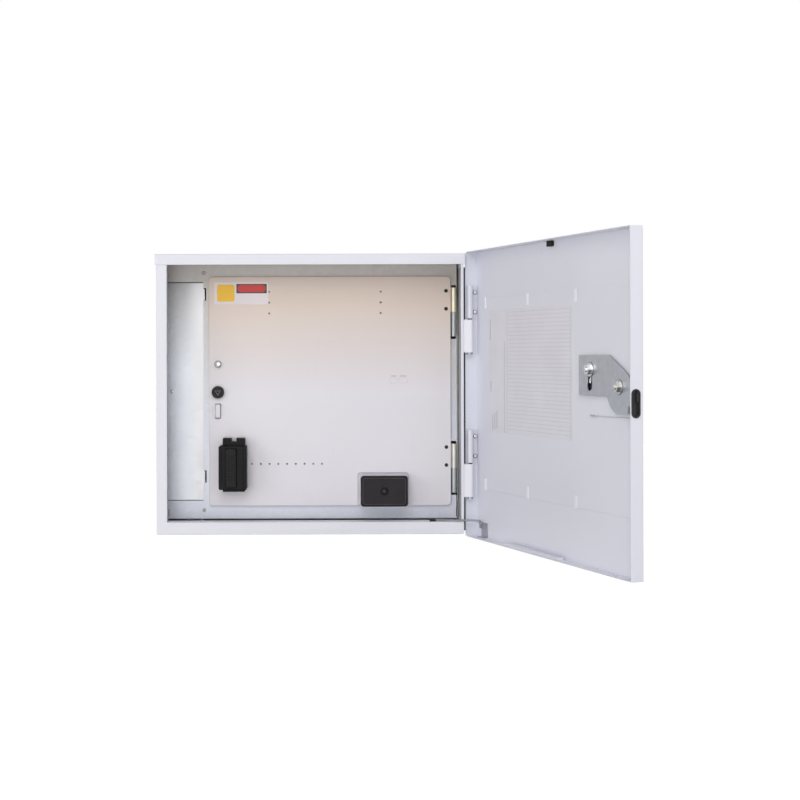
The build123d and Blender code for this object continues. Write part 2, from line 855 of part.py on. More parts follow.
# Sealing bolt: a captive hexagon bolt with its washer.
bolt_face = shifted(panel_face, lock_x, bolt_z)
with BuildPart() as seal_bolt:
    with BuildSketch(bolt_face):
        Circle(bolt_flats * 0.62)
    extrude(amount=sheet)
    with BuildSketch(bolt_face.offset(sheet)):
        RegularPolygon(bolt_flats / 2, 6, major_radius=False)
    extrude(amount=bolt_size * 0.65)
    chamfer(seal_bolt.faces().sort_by(Axis.Y)[0].edges(), 0.8)
    with BuildSketch(bolt_face):
        Circle(bolt_size / 2)
    extrude(amount=-(panel_thickness + 4 * sheet))
seal_bolt.part.label = "seal_bolt"
export_step(seal_bolt.part, "parts/seal_bolt.step")

# Fuse base: a moulded block with a channel for the carrier, top lugs and a foot.
fuse_front = panel_front + fuse_depth
carrier_x = fuse_x + carrier_offset
channel_back = fuse_front - carrier_depth + carrier_proud
fuse_low = fuse_z - fuse_height / 2
fuse_high = fuse_z + fuse_height / 2
with BuildPart() as fuse_base:
    with BuildSketch(Plane.XZ.offset(panel_front)):
        soft_patch(fuse_x - fuse_width / 2, fuse_x + fuse_width / 2, fuse_low, fuse_high, 3)
    extrude(amount=fuse_depth)
    fillet(fuse_base.faces().sort_by(Axis.Y)[0].edges(), 2.5)
    # Head with two sealing lugs and a notch between them.
    with BuildSketch(Plane.XZ.offset(panel_front)):
        soft_patch(fuse_x - head_left, fuse_x + head_right, fuse_high - head_lap, fuse_high + head_rise, 2)
        soft_patch(
            fuse_x - notch_left,
            fuse_x + notch_right,
            fuse_high + notch_floor,
            fuse_high + head_rise + notch_floor,
            2,
            mode=Mode.SUBTRACT,
        )
        patch(fuse_x - head_left, fuse_x + foot_right, fuse_low - foot_drop, fuse_low + foot_lap)
    extrude(amount=fuse_depth * head_depth_share)
    # Channel for the carrier.
    with BuildSketch(Plane.XZ.offset(channel_back)):
        patch(
            carrier_x - carrier_width / 2 - carrier_clearance,
            carrier_x + carrier_width / 2 + carrier_clearance,
            fuse_z - carrier_height / 2 - carrier_clearance,
            fuse_z + carrier_height / 2 + carrier_clearance,
        )
    extrude(amount=fuse_depth, mode=Mode.SUBTRACT)
    # Contact wells, and the holes of the two rear studs.
    with BuildSketch(Plane.XZ.offset(channel_back - blade_length - well_margin)):
        with Locations((carrier_x, fuse_z)):
            with GridLocations(1, blade_spacing, 1, 2):
                Rectangle(blade_width + 4, 4 * blade_thickness)
    extrude(amount=blade_length + well_margin, mode=Mode.SUBTRACT)
    with BuildSketch(Plane.XZ.offset(panel_front)):
        with Locations((carrier_x, fuse_z)):
            with GridLocations(1, stud_spacing, 1, 2):
                Circle(panel_screw + stud_clearance)
    extrude(amount=channel_back - blade_length - well_margin - panel_front, mode=Mode.SUBTRACT)
    # Ribs down the left cheek and a step down the right edge.
    rib_left = fuse_x - fuse_width / 2 + rib_inset
    step_right = fuse_x + fuse_width / 2 - rib_inset
    with BuildSketch(Plane.XZ.offset(fuse_front - rib_depth)):
        patch(rib_left, rib_left + rib_width, fuse_low + 2 * rib_inset, fuse_high - 2 * rib_inset)
        patch(step_right - rib_width, step_right, fuse_low + rib_inset, fuse_high - rib_inset)
    extrude(amount=2 * rib_depth, mode=Mode.SUBTRACT)
fuse_base.part.label = "fuse_base"
export_step(fuse_base.part, "parts/fuse_base.step")

# Fuse carrier: the piece that pulls out, with a ribbed grip.
with BuildPart() as fuse_carrier:
    with BuildSketch(Plane.XZ.offset(channel_back)):
        with Locations((carrier_x, fuse_z)):
            RectangleRounded(carrier_width, carrier_height, 2)
    extrude(amount=carrier_depth)
    fillet(fuse_carrier.faces().sort_by(Axis.Y)[0].edges(), 1.5)
    with BuildSketch(Plane.XZ.offset(channel_back + carrier_depth - 1)):
        with Locations((carrier_x, fuse_z)):
            with GridLocations(1, grip_pitch, 1, grip_grooves):
                Rectangle(carrier_width, grip_groove)
    extrude(amount=2, mode=Mode.SUBTRACT)
fuse_carrier.part.label = "fuse_carrier"
export_step(fuse_carrier.part, "parts/fuse_carrier.step")

with BuildPart() as fuse_blades:
    with BuildSketch(Plane.XZ.offset(channel_back)):
        with Locations((carrier_x, fuse_z)):
            with GridLocations(1, blade_spacing, 1, 2):
                Rectangle(blade_width, blade_thickness)
    extrude(amount=-blade_length)
fuse_blades.part.label = "fuse_blades"
export_step(fuse_blades.part, "parts/fuse_blades.step")

# Jaws that grip the blades, and the studs that carry the cables behind the panel.
well_back = channel_back - blade_length - well_margin
with BuildPart() as fuse_jaws:
    with BuildSketch(Plane.XZ.offset(well_back)):
        with Locations((carrier_x, fuse_z)):
            with GridLocations(1, blade_spacing, 1, 2):
                Rectangle(blade_width, 3 * blade_thickness)
                Rectangle(blade_width + 1, blade_thickness + 0.2, mode=Mode.SUBTRACT)
    extrude(amount=blade_length)
    with BuildSketch(Plane.XZ.offset(well_back)):
        with Locations((carrier_x, fuse_z)):
            with GridLocations(1, blade_spacing, 1, 2):
                Rectangle(blade_width, 3 * blade_thickness)
    extrude(amount=1)
fuse_jaws.part.label = "fuse_jaws"
export_step(fuse_jaws.part, "parts/fuse_jaws.step")

with BuildPart() as fuse_studs:
    with BuildSketch(Plane.XZ.offset(well_back)):
        with Locations((carrier_x, fuse_z)):
            with GridLocations(1, stud_spacing, 1, 2):
                Circle(panel_screw)
    extrude(amount=-(well_back - frame_front + stud_behind))
    with BuildSketch(Plane.XZ.offset(frame_front)):
        with Locations((carrier_x, fuse_z)):
            with GridLocations(1, stud_spacing, 1, 2):
                RegularPolygon(stud_nut / 2, 6, major_radius=False)
    extrude(amount=-stud_nut_height)
fuse_studs.part.label = "fuse_studs"
export_step(fuse_studs.part, "parts/fuse_studs.step")

# Neutral link: plate, brass bar with its screws, moulded cover and cover screw.
link_spot = shifted(panel_face, link_x, link_z)
plate_width = link_width + 2 * link_plate_margin
plate_height = link_height + link_plate_margin
with BuildPart() as link_base:
    with BuildSketch(link_spot):
        RectangleRounded(plate_width, plate_height - 1, 6)
    extrude(amount=link_plate)
    with BuildSketch(link_spot.offset(link_plate)):
        with GridLocations(link_width * 0.55, 1, 2, 1):
            Rectangle(link_post_width, link_post_height)
        Circle(link_boss / 2)
    extrude(amount=link_post_out)
    with BuildSketch(link_spot):
        with GridLocations(link_width * 0.78, 1, 2, 1):
            Circle(panel_screw / 2 + stud_clearance)
    extrude(amount=link_plate, mode=Mode.SUBTRACT)
link_base.part.label = "link_base"
export_step(link_base.part, "parts/link_base.step")

bar_seat = link_spot.offset(link_plate + link_post_out)
with BuildPart() as link_bar:
    with BuildSketch(bar_seat):
        Rectangle(link_width * 0.7, link_bar_height)
        Circle(link_boss / 2 + stud_clearance, mode=Mode.SUBTRACT)
        with GridLocations(link_width * 0.7, 1, 2, 1):
            Rectangle(link_bar_notch, link_bar_notch, mode=Mode.SUBTRACT)
    extrude(amount=link_bar_out)
link_bar.part.label = "link_bar"
export_step(link_bar.part, "parts/link_bar.step")

with BuildPart() as link_screws:
    for step in (-2, -1, 1, 2):
        spot = shifted(bar_seat.offset(link_bar_out), step * link_screw_pitch, 0)
        with BuildSketch(spot):
            Circle(link_screw_size / 2)
            Rectangle(link_screw_size, link_screw_slot, mode=Mode.SUBTRACT)
        extrude(amount=3)
        with BuildSketch(spot):
            Circle(link_screw_size / 2)
        extrude(amount=1)
link_screws.part.label = "link_screws"
export_step(link_screws.part, "parts/link_screws.step")

cover_skirt = link_plate + stud_clearance
with BuildPart() as link_cover:
    with BuildSketch(link_spot.offset(cover_skirt)):
        RectangleRounded(link_width, link_height, link_corner)
    extrude(amount=link_depth - cover_skirt, taper=2)
    fillet(link_cover.faces().sort_by(Axis.Y)[0].edges(), link_edge)
    with BuildSketch(link_spot.offset(cover_skirt)):
        RectangleRounded(link_width - 2 * link_wall, link_height - 2 * link_wall, link_corner - link_wall)
    extrude(amount=link_depth - cover_skirt - link_wall, taper=2, mode=Mode.SUBTRACT)
    # Raised rim round the front, and the boss of the cover screw.
    with BuildSketch(link_spot.offset(link_depth - link_wall)):
        Circle(link_cover_boss / 2)
    extrude(amount=link_wall + 1)
    with BuildSketch(link_spot.offset(link_depth - 2 * link_wall)):
        Circle(panel_screw / 2 + stud_clearance)
    extrude(amount=4 * link_wall, mode=Mode.SUBTRACT)
link_cover.part.label = "link_cover"
export_step(link_cover.part, "parts/link_cover.step")

with BuildPart() as link_cover_screw:
    screw_seat = link_spot.offset(link_depth + 1)
    screw_reach = link_depth + 1 - link_plate - link_post_out
    add(pan_screw(screw_seat, panel_screw, panel_screw_head + 3, screw_reach))
link_cover_screw.part.label = "link_cover_screw"
export_step(link_cover_screw.part, "parts/link_cover_screw.step")

with BuildPart() as link_fixings:
    for side in (-0.39, 0.39):
        spot = shifted(link_spot.offset(link_plate), link_width * side, 0)
        add(pan_screw(spot, panel_screw, panel_screw_head, link_plate + panel_thickness + 5))
        with BuildSketch(shifted(Plane.XZ.offset(frame_front), link_x + link_width * side, link_z)):
            RegularPolygon(4, 6, major_radius=False)
            Circle(panel_screw / 2, mode=Mode.SUBTRACT)
        extrude(amount=-3)
link_fixings.part.label = "link_fixings"
export_step(link_fixings.part, "parts/link_fixings.step")

# Door: one sheet folded into a tray, with an oblong hole for the latch in its free edge.
bezel_hole_width = bezel_width - 2 * bezel_wall + 0.6
bezel_hole_length = bezel_length - 2 * bezel_wall + 0.6
with BuildPart() as door_skin:
    with BuildSketch(door_face(-door_face_offset)):
        patch(-door_hinge_edge, door_free_edge, door_bottom, door_top)
    extrude(amount=door_flange)
    door_outside = door_skin.faces().sort_by(plane_axis(door_face(0)))[0]
    fillet(door_outside.edges(), door_bend)
    with BuildSketch(door_face(skin_inner)):
        patch(
            -door_hinge_edge + door_sheet,
            door_free_edge - door_sheet,
            door_bottom + door_sheet,
            door_top - door_sheet,
        )
    extrude(amount=door_flange, mode=Mode.SUBTRACT)
    # The hinge side is folded deeper than the other three.
    with BuildSketch(door_face(0)):
        patch(-door_hinge_edge, -door_hinge_edge + door_sheet, door_bottom + door_bend, door_top - door_bend)
    extrude(amount=door_hinge_flange - door_face_offset)
    with BuildSketch(door_edge(door_free_edge - 2 * door_sheet)):
        with Locations((bezel_out, bezel_height)):
            SlotOverall(bezel_hole_length, bezel_hole_width, rotation=90)
    extrude(amount=3 * door_sheet, mode=Mode.SUBTRACT)
    # Drain slots in the bottom flange.
    with BuildSketch(door_plan(door_bottom)):
        for drain_at in (drain_inset, door_free_edge - drain_inset):
            with Locations((drain_at, door_face_offset / 2)):
                SlotOverall(drain_length, drain_width)
    extrude(amount=door_sheet, mode=Mode.SUBTRACT)
door_skin.part.label = "door_skin"
export_step(door_skin.part, "parts/door_skin.step")

# Liner: a thin sheet inside the door, held by six lanced clips.
with BuildPart() as door_liner:
    with BuildSketch(door_face(skin_inner)):
        soft_patch(liner_start, liner_end, liner_low, liner_high, bend)
        for across_at, up_at in ((guide_across, guide_height), (pivot_across, pivot_height)):
            with Locations((across_at, up_at)):
                Circle(guide_base / 2 + tab_clearance, mode=Mode.SUBTRACT)
    extrude(amount=liner_sheet)
door_liner.part.label = "door_liner"
export_step(door_liner.part, "parts/door_liner.step")

with BuildPart() as liner_clips:
    for edge, way in ((liner_high, 1), (liner_low, -1)):
        for step in range(3):
            with BuildSketch(door_face(skin_inner)):
                with Locations((clip_first + step * clip_pitch, edge + way * (clip_height / 2 - clip_lap))):
                    RectangleRounded(clip_width, clip_height, 1.5)
            extrude(amount=liner_sheet + 1.2)
    with BuildSketch(door_face(skin_inner)):
        patch(liner_start, liner_end, liner_low, liner_high)
    extrude(amount=liner_sheet, mode=Mode.SUBTRACT)
liner_clips.part.label = "liner_clips"
export_step(liner_clips.part, "parts/liner_clips.step")

with BuildPart() as record_card:
    with BuildSketch(door_face(liner_face)):
        patch(card_start, card_start + card_width, card_high - card_height, card_high)
    extrude(amount=card_thickness)
record_card.part.label = "record_card"
export_step(record_card.part, "parts/record_card.step")

with BuildPart() as top_bumper:
    with BuildSketch(door_face(skin_inner)):
        soft_patch(
            door_free_edge / 2 - bumper_width / 2,
            door_free_edge / 2 + bumper_width / 2,
            door_top - door_sheet - bumper_height,
            door_top - door_sheet,
            2,
        )
    extrude(amount=bumper_out)
top_bumper.part.label = "top_bumper"
export_step(top_bumper.part, "parts/top_bumper.step")

with BuildPart() as drip_strip:
    with BuildSketch(door_plan(door_bottom + door_sheet)):
        patch(drip_start, drip_start + drip_length, 0, drip_width)
    extrude(amount=drip_height)
drip_strip.part.label = "drip_strip"
export_step(drip_strip.part, "parts/drip_strip.step")

# Door hinges: blocks on the case carry fixed pins, and the door's knuckles lift off them.
axis_y = door_pin_depth - front
for end, seat in (("upper", door_hinge_upper), ("lower", door_hinge_lower)):
    block_top = seat - door_washer / 2
    with BuildPart() as hinge_block:
        with BuildSketch(Plane.XY.offset(block_top - door_half)):
            with Locations((door_pin_x, axis_y)):
                Circle(door_knuckle / 2)
            patch(right, door_pin_x, axis_y - door_knuckle / 2, axis_y + door_knuckle / 2)
        extrude(amount=door_half)
        with BuildSketch(Plane.XY.offset(block_top - door_half)):
            with Locations((door_pin_x, axis_y)):
                Circle(door_pin / 2 + pin_clearance)
        extrude(amount=door_half, mode=Mode.SUBTRACT)
        with BuildSketch(Plane.YZ.offset(right)):
            for step in (1, 3):
                with Locations((axis_y, block_top - door_half * step / 4)):
                    Circle(door_screw / 2 + stud_clearance)
        extrude(amount=8, mode=Mode.SUBTRACT)
    hinge_block.part.label = "door_hinge_block_" + end
    export_step(hinge_block.part, "parts/door_hinge_block_" + end + ".step")

    with BuildPart() as hinge_pin:
        with BuildSketch(Plane.XY.offset(block_top - door_half - door_pin_head)):
            with Locations((door_pin_x, axis_y)):
                Circle(door_pin / 2)
        extrude(amount=door_half * 1.75 + door_pin_head)
        chamfer(hinge_pin.edges().group_by(Axis.Z)[-1], 1)
        with BuildSketch(Plane.XY.offset(block_top - door_half - door_pin_head)):
            with Locations((door_pin_x, axis_y)):
                Circle(door_knuckle / 2 - 3 * pin_clearance)
        extrude(amount=door_pin_head)
    hinge_pin.part.label = "door_hinge_pin_" + end
    export_step(hinge_pin.part, "parts/door_hinge_pin_" + end + ".step")

    with BuildPart() as hinge_leaf:
        leaf_low = seat + door_washer / 2
        with BuildSketch(door_plan(leaf_low)):
            Circle(door_knuckle / 2)
            patch(
                -door_hinge_edge + door_sheet,
                -door_hinge_edge + door_sheet + door_leaf,
                -door_knuckle / 4,
                door_leaf_reach,
            )
            patch(-door_hinge_edge + door_sheet, 0, -door_leaf, door_leaf)
        extrude(amount=door_half)
        with BuildSketch(door_plan(leaf_low)):
            Circle(door_pin / 2 + pin_clearance)
        extrude(amount=door_half * 0.85, mode=Mode.SUBTRACT)
        with BuildSketch(door_edge(-door_hinge_edge + door_sheet)):
            for reach in (-door_screw_spacing / 2, door_screw_spacing / 2):
                with Locations((door_screw_from_axis, leaf_low + door_half / 2 + reach)):
                    Circle(door_screw / 2 + stud_clearance)
        extrude(amount=door_leaf, mode=Mode.SUBTRACT)
    hinge_leaf.part.label = "door_hinge_leaf_" + end
    export_step(hinge_leaf.part, "parts/door_hinge_leaf_" + end + ".step")

with BuildPart() as door_hinge_washers:
    for seat in (door_hinge_upper, door_hinge_lower):
        with BuildSketch(Plane.XY.offset(seat - door_washer / 2 + pin_clearance)):
            with Locations((door_pin_x, axis_y)):
                Circle(door_knuckle / 2 - sheet)
                Circle(door_pin / 2 + pin_clearance, mode=Mode.SUBTRACT)
        extrude(amount=door_washer - 2 * pin_clearance)
door_hinge_washers.part.label = "door_hinge_washers"
export_step(door_hinge_washers.part, "parts/door_hinge_washers.step")


def domed_screw(plane, size, head, length):
    """Domed screw whose seat is on the plane."""
    with BuildPart() as screw:
        with BuildSketch(plane):
            Circle(head / 2)
        extrude(amount=head * 0.3)
        fillet(screw.edges().filter_by(GeomType.CIRCLE).group_by(plane_axis(plane))[-1], head * 0.28)
        with BuildSketch(plane):
            Circle(size / 2)
        extrude(amount=-length)
    return screw.part


leaf_top_face = -door_hinge_edge + door_sheet + door_leaf
with BuildPart() as door_hinge_screws:
    for seat in (door_hinge_upper, door_hinge_lower):
        for reach in (-door_screw_spacing / 2, door_screw_spacing / 2):
            up_at = seat + door_washer / 2 + door_half / 2 + reach
            spot = shifted(door_edge(leaf_top_face), door_screw_from_axis, up_at)
            add(domed_screw(spot, door_screw, door_screw_head, door_leaf))
door_hinge_screws.part.label = "door_hinge_screws"
export_step(door_hinge_screws.part, "parts/door_hinge_screws.step")

# Screws inside the case that hold the hinge blocks.
with BuildPart() as hinge_block_screws:
    for seat in (door_hinge_upper, door_hinge_lower):
        for step in (1, 3):
            up_at = seat - door_washer / 2 - door_half * step / 4
            wall_seat = Plane(origin=(inner_right, axis_y, up_at), x_dir=(0, 1, 0), z_dir=(-1, 0, 0))
            add(domed_screw(wall_seat, door_screw, door_screw_head, sheet + 6))
hinge_block_screws.part.label = "hinge_block_screws"
export_step(hinge_block_screws.part, "parts/hinge_block_screws.step")

# Door seal: a black strip on the outside of the case that fills the gap beside the hinges.
with BuildPart() as door_seal:
    with BuildSketch(Plane.XY.offset(bottom + seal_margin)):
        patch(right, right + seal_thickness, seal_from_front - front, seal_from_front + seal_width - front)
    extrude(amount=box_height - roof_lip - 2 * seal_margin)
door_seal.part.label = "door_seal"
export_step(door_seal.part, "parts/door_seal.step")

# Latch plate: falls by its own weight about the pivot stud until the slot meets the guide stud.
flange_inside = door_free_edge - door_sheet
thumb_root = flange_inside - 1
jamb_reach = door_pin_x - opening_left
hook_at = jamb_reach - hook_setback
plate_right = pivot_across + plate_past_guide - 3 * latch_sheet
plate_foot = hook_top - hook_width - latch_sheet
plate_toe_high = pivot_height + plate_toe_rise
guide_radius = hypot(guide_from_pivot, guide_height - pivot_height)
guide_angle = degrees(atan2(guide_height - pivot_height, -guide_from_pivot))
with BuildPart() as latch_plate:
    with BuildSketch(door_face(plate_low)):
        with BuildLine():
            Polyline(
                (pivot_across - plate_shoulder - plate_corner, plate_shelf),
                (guide_across - plate_past_guide, plate_shelf),
                (guide_across - plate_past_guide, plate_top),
                (pivot_across - plate_shoulder, plate_top),
                (pivot_across + plate_toe, plate_toe_high),
            )
            ThreePointArc(
                (pivot_across + plate_toe, plate_toe_high),
                (plate_right - plate_corner, plate_toe_high - plate_round),
                (plate_right, pivot_height),
            )
            Polyline(
                (plate_right, pivot_height),
                (plate_right, thumb_top + latch_sheet),
                (thumb_root, thumb_top + latch_sheet),
                (thumb_root, thumb_top - thumb_height - latch_sheet),
                (plate_right + plate_round, thumb_top - thumb_height - latch_sheet),
                (plate_right, hook_top),
                (plate_right, plate_foot),
                (pivot_across - plate_heel, plate_foot),
            )
            ThreePointArc(
                (pivot_across - plate_heel, plate_foot),
                (pivot_across - plate_waist, plate_foot / 2 + latch_sheet),
                (pivot_across - plate_shoulder - plate_corner, plate_shelf),
            )
        make_face()
        with Locations((pivot_across, pivot_height)):
            Circle(stud_size / 2 + stud_clearance, mode=Mode.SUBTRACT)
        # Slot round the guide stud, on the arc about the pivot.
        with BuildLine(mode=Mode.PRIVATE) as slot_path:
            CenterArc((pivot_across, pivot_height), guide_radius, guide_angle, latch_turn)
        SlotArc(slot_path.edges()[0], slit, mode=Mode.SUBTRACT)
    extrude(amount=latch_sheet)
    # Hook folded back from the plate, with its nose turned towards the free edge.
    with BuildSketch(door_plan(hook_top - hook_width)):
        with BuildLine():
            Polyline(
                (hook_at - 2 * latch_sheet, -plate_high),
                (hook_at - latch_sheet, -plate_high),
                (hook_at - latch_sheet, -plate_high - hook_reach),
                (hook_at + hook_nose, -plate_high - hook_reach),
                (hook_at + hook_nose - latch_sheet, -plate_high - hook_reach + latch_sheet),
                (hook_at, -plate_high - hook_reach + latch_sheet),
                (hook_at, -plate_low),
                (hook_at - 2 * latch_sheet, -plate_low),
                close=True,
            )
        make_face()
    extrude(amount=hook_width)
    # Lip beside the free edge that carries the thumb piece.
    with BuildSketch(door_plan(thumb_top - thumb_height)):
        patch(thumb_root - latch_sheet, thumb_root, -plate_high - thumb_lip, -plate_low)
    extrude(amount=thumb_height)
latch_plate.part.label = "latch_plate"
export_step(latch_plate.part, "parts/latch_plate.step")

# Thumb piece: the black finger rest on the latch, with a shield that closes the bezel from behind.
thumb_out = bezel_out + thumb_drop
with BuildPart() as latch_thumb:
    with BuildSketch(door_edge(thumb_root)):
        with Locations((thumb_out, thumb_top - thumb_height / 2)):
            RectangleRounded(thumb_width, thumb_height, 1)
    extrude(amount=thumb_length)
    with BuildSketch(door_edge(thumb_root - shield_thickness)):
        patch(thumb_out - thumb_width, -plate_high - 2 * stud_clearance, shield_low, shield_high)
        patch(
            -plate_high - thumb_lip - stud_clearance,
            -plate_low,
            thumb_top - thumb_height - stud_clearance,
            thumb_top + stud_clearance,
            mode=Mode.SUBTRACT,
        )
    extrude(amount=shield_thickness)
latch_thumb.part.label = "latch_thumb"
export_step(latch_thumb.part, "parts/latch_thumb.step")

# Bezel: a dished black moulding clipped into the free edge, slotted for the thumb piece.
with BuildPart() as latch_bezel:
    with BuildSketch(door_edge(door_free_edge)):
        with Locations((bezel_out, bezel_height)):
            SlotOverall(bezel_length, bezel_width, rotation=90)
    extrude(amount=bezel_rim)
    bezel_rim_face = latch_bezel.faces().sort_by(plane_axis(door_edge(0)))[-1]
    fillet(bezel_rim_face.edges(), 1)
    with BuildSketch(door_edge(flange_inside - 0.5)):
        with Locations((bezel_out, bezel_height)):
            SlotOverall(bezel_hole_length - bezel_fit, bezel_hole_width - bezel_fit, rotation=90)
    extrude(amount=door_sheet + 0.5)
    with BuildSketch(door_edge(door_free_edge - 0.5)):
        with Locations((bezel_out, bezel_height)):
            SlotOverall(bezel_hole_length - bezel_lip, bezel_hole_width - bezel_lip, rotation=90)
    extrude(amount=2 * bezel_rim, mode=Mode.SUBTRACT)
    with BuildSketch(door_edge(flange_inside - 1)):
        with Locations((bezel_out + thumb_drop, bezel_height)):
            Rectangle(thumb_width + 1, bezel_length - 3 * bezel_wall)
    extrude(amount=2 * bezel_rim, mode=Mode.SUBTRACT)
latch_bezel.part.label = "latch_bezel"
export_step(latch_bezel.part, "parts/latch_bezel.step")

# Studs welded to the door, with washers and nuts that keep the plate on.
stud_length = latch_standoff + latch_sheet + washer_thickness + nut_height + 3
for name, across_at, up_at, bush, base in (
    ("guide", guide_across, guide_height, guide_bush, guide_base),
    ("pivot", pivot_across, pivot_height, stud_size, pivot_base),
):
    with BuildPart() as stud:
        with BuildSketch(shifted(door_face(skin_inner), across_at, up_at)):
            Circle(base / 2)
        extrude(amount=latch_standoff - stud_clearance)
        with BuildSketch(shifted(door_face(skin_inner), across_at, up_at)):
            Circle(bush / 2)
        extrude(amount=latch_standoff + latch_sheet + stud_clearance)
        with BuildSketch(shifted(door_face(skin_inner), across_at, up_at)):
            Circle(stud_size / 2)
        extrude(amount=stud_length)
        chamfer(stud.edges().sort_by(plane_axis(door_face(0)))[-1], 0.8)
    stud.part.label = "latch_" + name + "_stud"
    export_step(stud.part, "parts/latch_" + name + "_stud.step")

    with BuildPart() as nut:
        nut_seat = shifted(door_face(plate_high + stud_clearance), across_at, up_at)
        with BuildSketch(nut_seat):
            Circle(washer_size / 2)
            Circle(stud_size / 2, mode=Mode.SUBTRACT)
        extrude(amount=washer_thickness)
        with BuildSketch(nut_seat.offset(washer_thickness)):
            RegularPolygon(nut_flats / 2, 6, major_radius=False)
            Circle(stud_size / 2, mode=Mode.SUBTRACT)
        extrude(amount=nut_height)
    nut.part.label = "latch_" + name + "_nut"
    export_step(nut.part, "parts/latch_" + name + "_nut.step")

# Wire spring under the latch, held to the liner by a small clip.
wire_start = guide_across - 8
wire_spot = door_face(liner_face + wire_size / 2 + 0.1).from_local_coords(Vector(wire_start, wire_height, 0))
with BuildPart() as latch_wire:
    with BuildSketch(Plane(origin=wire_spot, x_dir=(0, 0, 1), z_dir=across)):
        Circle(wire_size / 2)
    extrude(amount=wire_length)
    with BuildSketch(door_face(liner_face)):
        soft_patch(
            wire_start,
            wire_start + wire_clip,
            wire_height - wire_size,
            wire_height + wire_size,
            wire_size / 2,
        )
    extrude(amount=wire_size + 0.6)
latch_wire.part.label = "latch_wire"
export_step(latch_wire.part, "parts/latch_wire.step")

# Stay bracket: an upright on the liner side with a foot and a pierced ear.
ear_high = stay_height - stay_wire
with BuildPart() as stay_bracket:
    with BuildSketch(door_face(skin_inner)):
        patch(
            stay_across - 8,
            stay_across - 8 + bracket_width,
            door_bottom + door_sheet,
            ear_high,
        )
    extrude(amount=sheet)
    with BuildSketch(door_plan(ear_high - sheet)):
        soft_patch(stay_across - 8, stay_across + 8, stay_off_axis - 4, -skin_inner, 2)
        with Locations((stay_across, stay_off_axis)):
            Circle(stay_wire / 2 + pin_clearance, mode=Mode.SUBTRACT)
    extrude(amount=sheet)
    with BuildSketch(door_plan(door_bottom + door_sheet)):
        patch(stay_across - 8, stay_across - 8 + bracket_width, stay_off_axis - 4, -skin_inner)
    extrude(amount=sheet)
stay_bracket.part.label = "stay_bracket"
export_step(stay_bracket.part, "parts/stay_bracket.step")

# Stay wire: turned down through the bracket's ear, with a black boot that slides on the sill.
stay_pivot = door_plan(stay_height).from_local_coords(Vector(stay_across, stay_off_axis, 0))
swing_back = radians(stay_swing_back)
stay_way = Vector(-cos(swing_back), sin(swing_back), 0)
stay_end = stay_pivot + stay_way * stay_length
with BuildPart() as stay_rod:
    with BuildLine() as stay_line:
        FilletPolyline(
            stay_pivot - Vector(0, 0, 4 * stay_wire),
            stay_pivot,
            stay_end,
            radius=stay_wire * 0.75,
        )
    with BuildSketch(Plane(origin=stay_pivot - Vector(0, 0, 4 * stay_wire), z_dir=(0, 0, 1))):
        Circle(stay_wire / 2)
    sweep()
stay_rod.part.label = "stay_rod"
export_step(stay_rod.part, "parts/stay_rod.step")

with BuildPart() as stay_boot_piece:
    boot_plane = Plane(origin=stay_end - stay_way * (stay_boot - 1), x_dir=(0, 0, 1), z_dir=stay_way)
    with BuildSketch(boot_plane):
        Circle(stay_boot_size / 2)
        Circle(stay_wire / 2, mode=Mode.SUBTRACT)
    extrude(amount=stay_boot - 1)
    with BuildSketch(boot_plane.offset(stay_boot - 1)):
        Circle(stay_boot_size / 2)
    extrude(amount=1)
stay_boot_piece.part.label = "stay_boot"
export_step(stay_boot_piece.part, "parts/stay_boot.step")
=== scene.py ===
import json
from math import cos, radians, sin

import bmesh
import bpy
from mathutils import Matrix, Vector


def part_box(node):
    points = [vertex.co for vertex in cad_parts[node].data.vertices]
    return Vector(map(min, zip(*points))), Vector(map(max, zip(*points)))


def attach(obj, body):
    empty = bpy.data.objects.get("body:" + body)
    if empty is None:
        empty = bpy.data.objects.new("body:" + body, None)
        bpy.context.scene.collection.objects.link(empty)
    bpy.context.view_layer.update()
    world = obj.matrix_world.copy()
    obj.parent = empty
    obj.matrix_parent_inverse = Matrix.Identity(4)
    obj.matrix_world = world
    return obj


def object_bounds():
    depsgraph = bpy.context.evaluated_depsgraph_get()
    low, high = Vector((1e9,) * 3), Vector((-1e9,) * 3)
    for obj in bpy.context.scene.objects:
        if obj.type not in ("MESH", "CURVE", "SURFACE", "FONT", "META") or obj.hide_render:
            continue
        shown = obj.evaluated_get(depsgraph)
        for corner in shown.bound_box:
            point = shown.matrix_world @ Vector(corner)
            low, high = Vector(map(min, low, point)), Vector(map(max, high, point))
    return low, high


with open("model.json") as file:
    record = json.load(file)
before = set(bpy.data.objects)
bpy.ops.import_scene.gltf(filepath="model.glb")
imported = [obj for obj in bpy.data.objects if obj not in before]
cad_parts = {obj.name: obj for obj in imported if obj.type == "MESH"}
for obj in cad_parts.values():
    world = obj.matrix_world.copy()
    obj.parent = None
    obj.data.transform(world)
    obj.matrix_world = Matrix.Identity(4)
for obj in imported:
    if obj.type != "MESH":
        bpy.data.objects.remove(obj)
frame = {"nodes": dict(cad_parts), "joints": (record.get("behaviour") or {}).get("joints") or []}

cad_low, cad_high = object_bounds()
MM = 0.001
INK = 0.04 * MM
UP = Vector((0, 0, 1))
FLOAT = "NodeSocketFloat"
VECTOR = "NodeSocketVector"

# The limits of the space inside the case, where painted shade darkens its paint.
case_sheet, frame_margin = 1.2 * MM, 20 * MM
inside_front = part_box("box_shell")[0].y + case_sheet
inside_back = -0.5 * MM
inside_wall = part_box("box_shell")[1].x - case_sheet
inside_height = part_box("inner_frame")[1].z - frame_margin

